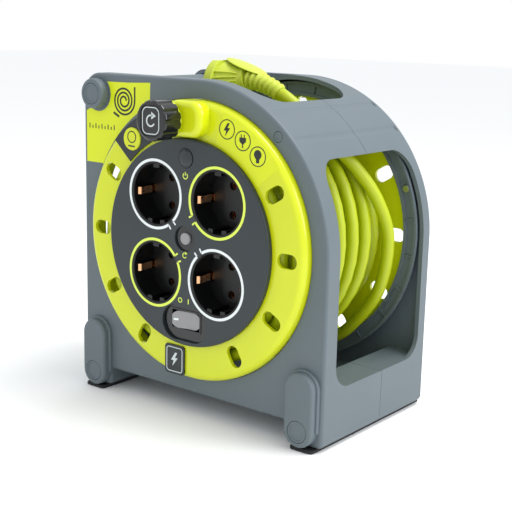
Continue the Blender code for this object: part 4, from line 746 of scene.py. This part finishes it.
silver_ink = printed("silver_ink", "#C9D2D2", 0.3)
BOLT = [(0.8, 6.5), (-4.2, -1.2), (-0.9, -1.2), (-2.4, -7), (4, 1.4), (0.6, 1.4), (3.4, 6.5)]
badge = slab(rounded((-19.55 * MM, -91.65 * MM), (-2.05 * MM, -71.15 * MM), 2.5 * MM),
             -1.3 * MM, -0.3 * MM)
place(ease(badge, 0.25 * MM), "badge", satin_black, "drum", "black_plastic", "badge_plate")
frame_line = arc((-5.9, -87.8), 2, -90, 0, 6) + arc((-5.9, -75), 2, 0, 90, 6)
frame_line += arc((-15.7, -75), 2, 90, 180, 6) + arc((-15.7, -87.8), 2, 180, 270, 6)
print_marks("badge_line", [ribbon(frame_line[:15], 0.6),
                           ribbon(frame_line[14:] + frame_line[:1], 0.6),
                           polygon(BOLT, -10.8, -81.2, 0.72)],
            -1.3 * MM, silver_ink, "drum", "steel")

# A clear film on the ring's upper right, printed with three uses in circles
sticker = [(r * math.cos(math.radians(a)), r * math.sin(math.radians(a)))
           for r, a in [(90.6 * MM, 38 + 34 * k / 30) for k in range(31)]
           + [(69.8 * MM, 72 - 34 * k / 30) for k in range(31)]]
print_marks("ring_film", [sticker], 0.04 * MM, lime_film, "drum", "drum_lime")
PLUG_MARK = [(-2.6, -0.4), (-2.6, 2), (-1.5, 2), (-1.5, 4), (-0.9, 4), (-0.9, 2), (0.9, 2), (0.9, 4),
             (1.5, 4), (1.5, 2), (2.6, 2), (2.6, -0.4), (0.4, -2.2), (0.4, -4.4), (-0.4, -4.4), (-0.4, -2.2)]
LAMP_MARK = [(-1.2, -4), (1.2, -4), (1.2, -2)] + arc((0, 1.2), 2.9, -55, 235, 20) + [(-1.2, -2)]
uses = []
for (x, z), mark in zip(((30.8, 76.6), (43.5, 70.5), (55.5, 61.9)),
                        (polygon(BOLT, 30.8, 76.6, 0.62), polygon(PLUG_MARK, 43.5, 70.5),
                         polygon(LAMP_MARK, 55.5, 61.9))):
    uses += ring_parts(x, z, 6.0, 0.6) + [mark]
print_marks("ring_use_marks", uses, -0.08 * MM, dark_ink, "drum", "black_plastic")


# ------------------------------------------------------------------ socket panel
# A dark textured cover over the hub, printed with a ring round each outlet. The four outlets
# are black wells with pin holes, guide ribs and two sprung earth clips of bent copper alloy.

panel_dark = moulded("dark_textured_panel", "#272F33", "#2A3236", 0.4, 0.5 * MM, 0.02 * MM)
black_plastic = moulded("black_gloss_plastic", "#0E1011", "#141617", 0.2, 1.5 * MM, 0.004 * MM,
                        coat=0.3)
well_black = moulded("black_well_plastic", "#020303", "#050606", 0.4, 0.8 * MM, 0.01 * MM)
white_ink = printed("white_ink", "#E6ECEC")
lime_ink = printed("lime_ink", "#DDF05A")

PANEL_FRONT = -4.0 * MM
PANEL_REAR = -0.3 * MM
SOCKETS = (("upper_left", -26.5, 29.8, -51, "white"), ("upper_right", 26.5, 29.8, 213, "lime"),
           ("lower_left", -26.5, -23.1, 32, "lime"), ("lower_right", 26.5, -23.1, 128, "white"))
WELL_OUTER = 21.2 * MM
PIN_PITCH = 19.0 * MM
ROCKER_Z = -52.0 * MM
LENS_Z = 56.0 * MM
BUTTON_Z = 3.4 * MM

panel = rod(68.8 * MM, PANEL_FRONT, PANEL_REAR, sides=180, rounding=1.3 * MM)
for socket_name, x, z, break_deg, ink in SOCKETS:
    cut(panel, rod(WELL_OUTER + 0.15 * MM, -5 * MM, MM, x * MM, z * MM, 96))
cut(panel, rod(6.4 * MM, -5 * MM, MM, 0, LENS_Z, 64))
cut(panel, slab(rounded((-8.8 * MM, -4.9 * MM), (8.8 * MM, 11.7 * MM), 8.2 * MM, 16), -5 * MM, -2.2 * MM))
cut(panel, rod(4.3 * MM, -5 * MM, MM, 0, BUTTON_Z, 48))
cut(panel, slab(rounded((-19.4 * MM, -65.8 * MM), (19.4 * MM, -42.2 * MM), 11.7 * MM, 16),
                -5 * MM, -1.4 * MM))
cut(panel, slab(rounded_about(0, ROCKER_Z, 13.4 * MM, 7.6 * MM, 1.2 * MM), -5 * MM, MM))
place(ease(panel, 0.35 * MM), "panel", panel_dark, "drum", "panel_dark", "socket_panel")

for socket_name, x, z, break_deg, ink in SOCKETS:
    lines = ring_parts(x, z, 22.6, 1.8, break_deg + 6, break_deg + 354, 3)
    for side in (-6, 6):
        turn = math.radians(break_deg + side)
        lines.append(ribbon([(x + r * math.cos(turn), z + r * math.sin(turn)) for r in (22.9, 25.9)], 1.1))
    print_marks(f"outlet_line_{socket_name}", lines, PANEL_FRONT,
                white_ink if ink == "white" else lime_ink, "drum", "button_grey")

    well = turned([(0, 13.5 * MM), (19.5 * MM, 13.5 * MM), (20 * MM, -3.3 * MM), (20.5 * MM, -4 * MM),
                   (WELL_OUTER, -4 * MM), (WELL_OUTER, 15.3 * MM), (0, 15.3 * MM)], 96)
    well.data.transform(Matrix.Translation((x * MM, 0, z * MM)))
    for low_x, high_x, low_z, high_z in ((-2.6, 2.6, 17.4, 20.5), (-7.6, -3.6, -20.2, -16.9),
                                         (3.6, 7.6, -20.2, -16.9)):
        join(well, slab(rounded(((x + low_x) * MM, (z + low_z) * MM),
                                ((x + high_x) * MM, (z + high_z) * MM), 0.7 * MM, 4),
                        -3.0 * MM, 14 * MM))
    join(well, slab(rounded_about(x * MM, z * MM, 7 * MM, 14.5 * MM, 5 * MM), 12.4 * MM, 14 * MM))
    for side in (-1, 1):
        cut(well, rod(2.8 * MM, -5 * MM, 16 * MM, x * MM, z * MM + side * PIN_PITCH / 2, 32))
        arm_x = (x + side * 18.2) * MM
        cut(well, slab(rounded_about(arm_x, z * MM, 1.8 * MM, 3.1 * MM, 0.4 * MM, 3),
                       3 * MM, 16 * MM))
    place(ease(well, 0.25 * MM), f"outlet_well_{socket_name}", well_black, "drum", "black_plastic",
          f"socket_well_{socket_name}")

# Rolled copper alloy, with the fine drawn lines of its strip
LINE_LENGTH = 4 * MM
LINE_WIDTH = 0.25 * MM
copper_alloy = bpy.data.materials.new("copper_alloy_strip")
steel = bpy.data.materials.new("zinc_plated_steel")
for metal, colour, rough in ((copper_alloy, "#E9B487", 0.24), (steel, "#B9BDC0", 0.3)):
    metal.use_nodes = True
    tree = metal.node_tree
    shader = tree.nodes["Principled BSDF"]
    place_at = add_node(tree, "ShaderNodeTexCoord").outputs["Object"]
    lines = add_node(tree, "ShaderNodeMapping", {
        "Vector": place_at, "Scale": (1 / LINE_LENGTH, 1 / LINE_WIDTH, 1 / LINE_WIDTH)})
    grain = add_node(tree, "ShaderNodeTexNoise", {"Vector": lines.outputs["Vector"], "Scale": 1.0})
    spread = add_node(tree, "ShaderNodeMapRange", {
        "Value": grain.outputs["Fac"], "To Min": rough - 0.07, "To Max": rough + 0.1})
    tree.links.new(spread.outputs["Result"], shader.inputs["Roughness"])
    shader.inputs["Base Color"].default_value = linear(colour)
    shader.inputs["Metallic"].default_value = 1.0

for socket_name, x, z, break_deg, ink in SOCKETS:
    clips = slab(box_outline((x - 18.6) * MM, 15.6 * MM, (x + 18.6) * MM, 16.3 * MM),
                 (z - 2.5) * MM, (z + 2.5) * MM, "Z")
    for side in (-1, 1):
        bend = [(x + side * u, y) for u, y in ((18.2, 16), (18.3, 9), (17.9, 6), (16.9, 3),
                                               (16.7, 1.6), (17.3, 0), (18.4, -1))]
        arm = slab(ribbon(bend, 0.8), (z - 2.4) * MM, (z + 2.4) * MM, "Z")
        join(clips, arm)
    place(ease(clips, 0.12 * MM), f"earth_clip_strip_{socket_name}", copper_alloy, "drum", "brass",
          f"earth_clips_{socket_name}")


# ------------------------------------------------------------------ lamp, reset button and switch
# A smoked polycarbonate lens snapped into the panel, the grey reset button of the thermal
# cut-out in its recess, and the grey rocker in its black switch body.

smoked_lens = moulded("smoked_polycarbonate", "#20272B", "#242B2F", 0.08, 2 * MM, 0.001 * MM, ior=1.58)
smoked_lens.node_tree.nodes["Principled BSDF"].inputs["Transmission Weight"].default_value = 0.25
grey_abs = moulded("grey_abs_button", "#8E8D8E", "#949394", 0.4, 0.6 * MM, 0.012 * MM)

lens = turned([(0, -4.8 * MM), (3 * MM, -4.76 * MM), (4.9 * MM, -4.55 * MM), (5.5 * MM, -4.2 * MM),
               (5.6 * MM, -4.5 * MM), (6.1 * MM, -4.4 * MM), (6.2 * MM, -3.9 * MM), (6.2 * MM, -0.6 * MM),
               (0, -0.6 * MM)], 64)
lens.data.transform(Matrix.Translation((0, 0, LENS_Z)))
place(lens, "lamp_lens", smoked_lens, "drum", "lens_smoke", "pilot_lens")

recess = slab(rounded((-8.7 * MM, -4.8 * MM), (8.7 * MM, 11.6 * MM), 8.1 * MM, 16),
              -2.5 * MM, -2.15 * MM)
cut(recess, rod(4.4 * MM, -5 * MM, MM, 0, BUTTON_Z, 48))
place(recess, "reset_recess_floor", black_plastic, "drum", "black_plastic")
button = rod(4 * MM, -4.2 * MM, 7.8 * MM, 0, BUTTON_Z, 56, 0.7 * MM)
place(button, "reset_push_button", grey_abs, "reset_button", "button_grey", "reset_button")

switch = slab(rounded_about(0, ROCKER_Z, 13.1 * MM, 7.3 * MM, MM), -2.4 * MM, 15.8 * MM)
cut(switch, slab(rounded_about(0, ROCKER_Z, 11.9 * MM, 6.1 * MM, 0.6 * MM), -3 * MM, 9.9 * MM))
bezel = slab(rounded((-19.2 * MM, -65.6 * MM), (19.2 * MM, -42.4 * MM), 11.5 * MM, 16),
             -1.8 * MM, -1.35 * MM)
cut(bezel, slab(rounded_about(0, ROCKER_Z, 12.5 * MM, 6.7 * MM, 0.9 * MM), -3 * MM, MM))
join(switch, settle(bezel))
place(ease(switch, 0.3 * MM), "switch_housing", black_plastic, "drum", "black_plastic", "switch_body")

ROCKER_PIVOT = Matrix.Translation((0, 0.9 * MM, 0)) @ Matrix.Rotation(math.radians(9), 4, "Z")
rocker_side = (arc((0, 0), 11.4 * MM, 15, -20, 12) + [(5.5 * MM, -3.05 * MM), (0, -2.6 * MM),
               (-5.5 * MM, -3.05 * MM)] + arc((0, 0), 11.4 * MM, 200, 165, 12)
               + [(-6 * MM, 4.5 * MM), (6 * MM, 4.5 * MM)])
rocker = slab(rocker_side, ROCKER_Z - 5.8 * MM, ROCKER_Z + 5.8 * MM, "Z")
use_tools(rocker, "INTERSECT", slab(rounded_about(0, ROCKER_Z, 11.5 * MM, 5.8 * MM, 5.7 * MM, 12),
                                    -12 * MM, 6 * MM))
ease(rocker, 0.6 * MM, 3)
rocker.data.transform(ROCKER_PIVOT)
place(rocker, "switch_rocker", grey_abs, "rocker", "button_grey", "rocker")
mark = slab(polygon([(-9.6, -3.95), (-6.2, -3.3), (-6.2, -2.8), (-9.6, -3.2)]),
            ROCKER_Z - 0.7 * MM, ROCKER_Z + 0.7 * MM, "Z")
mark.data.transform(ROCKER_PIVOT)
place(mark, "rocker_line", white_ink, "rocker", "button_grey")

power_mark = [ribbon(arc((0, 44.6), 1.9, 130, 410, 20), 0.6), ribbon([(0, 44.8), (0, 47.2)], 0.6)]
reset_mark = [ribbon(arc((0, -7.6), 1.6, 60, 330, 20), 0.55),
              polygon([(0.3, -5.0), (2.4, -6.2), (0.5, -7.2)])]
switch_mark = ring_parts(-3.6, -38.2, 1.5, 0.6) + [ribbon([(3.6, -39.9), (3.6, -36.5)], 0.7)]
print_marks("panel_marks", power_mark + reset_mark + switch_mark, PANEL_FRONT, lime_ink, "drum",
            "button_grey")


# ------------------------------------------------------------------ winding knob
# A fluted knob of glossy black nylon turning on a steel pin, closed by a small printed cap.

knob = rod(13 * MM, KNOB_FRONT, KNOB_BACK, KNOB_X, KNOB_Z, 120, 1.9 * MM)
for k in range(12):
    flute = on_drum(14.3 * MM, 30 * k, 0)
    cut(knob, rod(2.2 * MM, KNOB_FRONT - MM, KNOB_BACK + MM, KNOB_X + flute.x, KNOB_Z + flute.z, 28))
cut(knob, slab(rounded_about(KNOB_X, KNOB_Z, 8.5 * MM, 9.75 * MM, 5.2 * MM, 12),
               KNOB_FRONT - MM, -24.2 * MM))
cut(knob, rod(4.9 * MM, KNOB_FRONT, -21.0 * MM, KNOB_X, KNOB_Z, 32))
cut(knob, rod(3.0 * MM, KNOB_FRONT, KNOB_BACK + MM, KNOB_X, KNOB_Z, 32))
place(ease(knob, 0.7 * MM, 3), "winding_knob", black_plastic, "knob", "black_plastic", "crank_knob")
cap = slab(rounded_about(KNOB_X, KNOB_Z, 8.25 * MM, 9.5 * MM, 5 * MM, 12), -25.7 * MM, -24.3 * MM)
place(ease(cap, 0.35 * MM), "knob_front_cap", black_plastic, "knob", "black_plastic", "knob_cap")
kx, kz = KNOB_X / MM, KNOB_Z / MM
outline = rounded_about(kx, kz, 7, 8.3, 4)
half = len(outline) // 2
print_marks("knob_line", [ribbon(outline[:half + 1], 0.6), ribbon(outline[half:] + outline[:1], 0.6),
                          ribbon(arc((kx, kz), 3.4, 60, 330, 24), 1.0),
                          polygon([(0.6, 5.6), (0.6, 0.9), (4.4, 3.2)], kx, kz)],
            -25.7 * MM, silver_ink, "knob", "steel")


# ------------------------------------------------------------------ plug
# A one-piece overmoulded plug of matt lime PVC, laid in the top opening: a flanged front with
# two flats, ridges for the fingers, a pull flap on top, and a ribbed strain relief.

pvc_plug = moulded("pvc_plug_body", "#B8C536", "#BECB3E", 0.42, 0.5 * MM, 0.02 * MM)

PLUG_Z = 99.82 * MM
FACE_X = -24.0 * MM
DISC_END = -17.0 * MM


def loft(stations, sides=56):
    """A skin over round sections, each given by its middle, its direction and its radius."""
    bm = bmesh.new()
    rings = []
    for middle, way, radius in stations:
        turn = Matrix.Translation(middle) @ way.to_track_quat("Z", "Y").to_matrix().to_4x4()
        rings.append(bmesh.ops.create_circle(bm, segments=sides, radius=radius, matrix=turn)["verts"])
    for first, second in zip(rings, rings[1:]):
        for k in range(sides):
            bm.faces.new((first[k], first[k - 1], second[k - 1], second[k]))
    bm.faces.new(rings[0])
    bm.faces.new(rings[-1][::-1])
    return shape_from(bm)


ahead = Vector((1, 0, 0))
disc_middle = [Vector((x, PLUG_Y, PLUG_Z)) for x in (FACE_X, FACE_X + 0.5 * MM, FACE_X + 1.4 * MM,
                                                     DISC_END - 1.2 * MM, DISC_END - 0.3 * MM, DISC_END)]
disc_radii = (17.3, 18.1, 18.5, 18.5, 18.1, 17.2)
plug = loft([(middle, ahead, r * MM) for middle, r in zip(disc_middle, disc_radii)], 96)
FLAT_HALF = 16.3 * MM
for side in (-1, 1):
    low_z, high_z = sorted((PLUG_Z + side * FLAT_HALF, PLUG_Z + side * (FLAT_HALF + 6 * MM)))
    cut(plug, slab(box_outline(FACE_X - MM, PLUG_Y - 20 * MM, DISC_END + MM, PLUG_Y + 20 * MM),
                   low_z, high_z, "Z"))

body_start = Vector((DISC_END - MM, PLUG_Y, PLUG_Z))
neck = relief_point(0)


def body_radius(part, out=0.0):
    """Radius of the plug's body, which tapers smoothly from the disc to the neck."""
    return (16 - 8 * part * part * (3 - 2 * part) + out) * MM


body_way = (neck - body_start).normalized()
body = [(body_start.lerp(neck, k / 12), body_way, body_radius(k / 12)) for k in range(13)]
join(plug, loft(body, 72))
for side in (-1, 1):
    for k in range(5):
        lift = math.radians(-32 + 16 * k)
        outward = Vector((0, side * math.cos(lift), math.sin(lift)))
        finger_ridge = [(body_start.lerp(neck, part) + outward * body_radius(part, out), ahead, 0.6 * MM)
                        for part, out in ((0.02, 0.3), (0.1, 0.7), (0.62, 0.7), (0.8, -0.1))]
        join(plug, loft(finger_ridge, 14))

FLAP_SIZE = (34 * MM, 18 * MM, 3 * MM)
FLAP_MIDDLE = (-1.8 * MM, 59 * MM, 112.6 * MM)
FLAP_LEAN_DEG = 17.4
bm = bmesh.new()
bmesh.ops.create_uvsphere(bm, u_segments=48, v_segments=24, radius=0.5)
bmesh.ops.scale(bm, vec=FLAP_SIZE, verts=bm.verts)
bmesh.ops.rotate(bm, matrix=Matrix.Rotation(math.radians(FLAP_LEAN_DEG), 3, "Y"), verts=bm.verts)
bmesh.ops.translate(bm, vec=FLAP_MIDDLE, verts=bm.verts)
join(plug, shape_from(bm, "flap"))

RIBS = 7
relief = [(neck - ahead * 6 * MM, ahead, 4.8 * MM)]
for k in range(RIBS * 12 + 1):
    part = k / (RIBS * 12)
    wave = 0.5 - 0.5 * math.cos(2 * math.pi * (part * RIBS))
    ridge = 6.9 - 1.2 * part
    point = relief_point(part)
    way = (relief_point(min(1.0, part + 0.02)) - relief_point(max(0.0, part - 0.02))).normalized()
    relief.append((point, way, (4.7 + (ridge - 4.7) * wave ** 0.7) * MM))
join(plug, loft(relief, 48))
for side in (-1, 1):
    pin_y = PLUG_Y + side * PIN_PITCH / 2
    cut(plug, loft([(Vector((x, pin_y, PLUG_Z)), ahead, 2.7 * MM)
                    for x in (FACE_X - MM, FACE_X + 5.3 * MM)], 32))
    seat_z = PLUG_Z + side * FLAT_HALF
    low_z, high_z = sorted((seat_z + side * MM, seat_z - side * 1.6 * MM))
    cut(plug, slab(box_outline(FACE_X - MM, PLUG_Y - 3.3 * MM, DISC_END - MM, PLUG_Y + 3.3 * MM),
                   low_z, high_z, "Z"))
settle(plug)
plug = place(plug, "moulded_plug", pvc_plug, "case", "drum_lime", "plug_body")

for number, side in ((1, -1), (2, 1)):
    y = PLUG_Y + side * PIN_PITCH / 2
    tip = FACE_X - 19 * MM
    pin = loft([(Vector((x, y, PLUG_Z)), ahead, r * MM) for x, r in
                ((tip, 0.9), (tip + 0.5 * MM, 1.7), (tip + 1.4 * MM, 2.2), (tip + 2.4 * MM, 2.4),
                 (FACE_X + 5 * MM, 2.4))], 32)
    place(pin, f"round_pin_{number}", steel, "case", "steel", f"plug_pin_{number}")
for side, side_name in ((1, "top"), (-1, "bottom")):
    edges = sorted((PLUG_Z + side * 15.9 * MM, PLUG_Z + side * 15.1 * MM))
    clip = slab(rounded((FACE_X + 0.3 * MM, PLUG_Y - 3 * MM),
                        (DISC_END - 1.3 * MM, PLUG_Y + 3 * MM), 0.8 * MM), *edges, "Z")
    place(ease(clip, 0.15 * MM, 1), f"plug_side_contact_{side_name}",
                             copper_alloy, "case", "brass", f"plug_earth_clip_{side_name}")


# ------------------------------------------------------------------ pieces kept from the CAD
# Screws, the knob's pin, the contact bars, the lamp, the cut-out and the cable clamp stay as
# they are: stamped or turned parts that are wholly or nearly hidden.

for node, material in (("live_bar", copper_alloy), ("neutral_bar", copper_alloy), ("earth_bar", copper_alloy),
                       ("pilot_lamp", copper_alloy), ("thermal_cutout", well_black),
                       ("cable_clamp", well_black), ("knob_axle", steel)):
    mesh = frame["nodes"][node].data
    mesh.materials.clear()
    mesh.materials.append(material)
for node, kept in frame["nodes"].items():
    if "_screw_" in node:
        kept.data.materials.clear()
        kept.data.materials.append(steel)


# ------------------------------------------------------------------ stage
# A pale floor that runs into a white surround, a soft lamp above and a weaker one at the
# right, as in a packshot.

floor_bm = bmesh.new()
bmesh.ops.create_grid(floor_bm, x_segments=1, y_segments=1, size=6.0)
floor_mesh = bpy.data.meshes.new("floor")
floor_bm.to_mesh(floor_mesh)
floor_bm.free()
floor = bpy.data.objects.new("floor", floor_mesh)
bpy.context.scene.collection.objects.link(floor)
pale = bpy.data.materials.new("pale_floor")
pale.use_nodes = True
pale.node_tree.nodes["Principled BSDF"].inputs["Base Color"].default_value = (0.97, 0.97, 0.97, 1)
pale.node_tree.nodes["Principled BSDF"].inputs["Roughness"].default_value = 0.9
floor_mesh.materials.append(pale)

world = bpy.data.worlds.new("white_surround")
bpy.context.scene.world = world
world.use_nodes = True
tree = world.node_tree
tree.nodes.clear()
path = add_node(tree, "ShaderNodeLightPath")
seen = add_node(tree, "ShaderNodeBackground", {"Color": (1, 1, 1, 1), "Strength": 1.0})
lit = add_node(tree, "ShaderNodeBackground", {"Color": (0.96, 0.98, 1, 1), "Strength": 1.0})
pick = add_node(tree, "ShaderNodeMixShader", {0: path.outputs["Is Camera Ray"], 1: lit.outputs[0],
                                              2: seen.outputs[0]})
add_node(tree, "ShaderNodeOutputWorld", {"Surface": pick.outputs[0]})

for lamp_name, spot, size, power in (("lamp_above", (0.35, 0.25, 1.1), 0.5, 7.0),
                                     ("lamp_right", (1.0, 0.1, 0.55), 0.6, 4.5)):
    lamp_data = bpy.data.lights.new(lamp_name, "AREA")
    lamp_data.size = size
    lamp_data.energy = power
    lamp = bpy.data.objects.new(lamp_name, lamp_data)
    lamp.location = spot
    lamp.rotation_euler = (Vector((0, 0, 0.11)) - Vector(spot)).to_track_quat("-Z", "Y").to_euler()
    bpy.context.scene.collection.objects.link(lamp)
bpy.context.scene.view_settings.view_transform = "Standard"
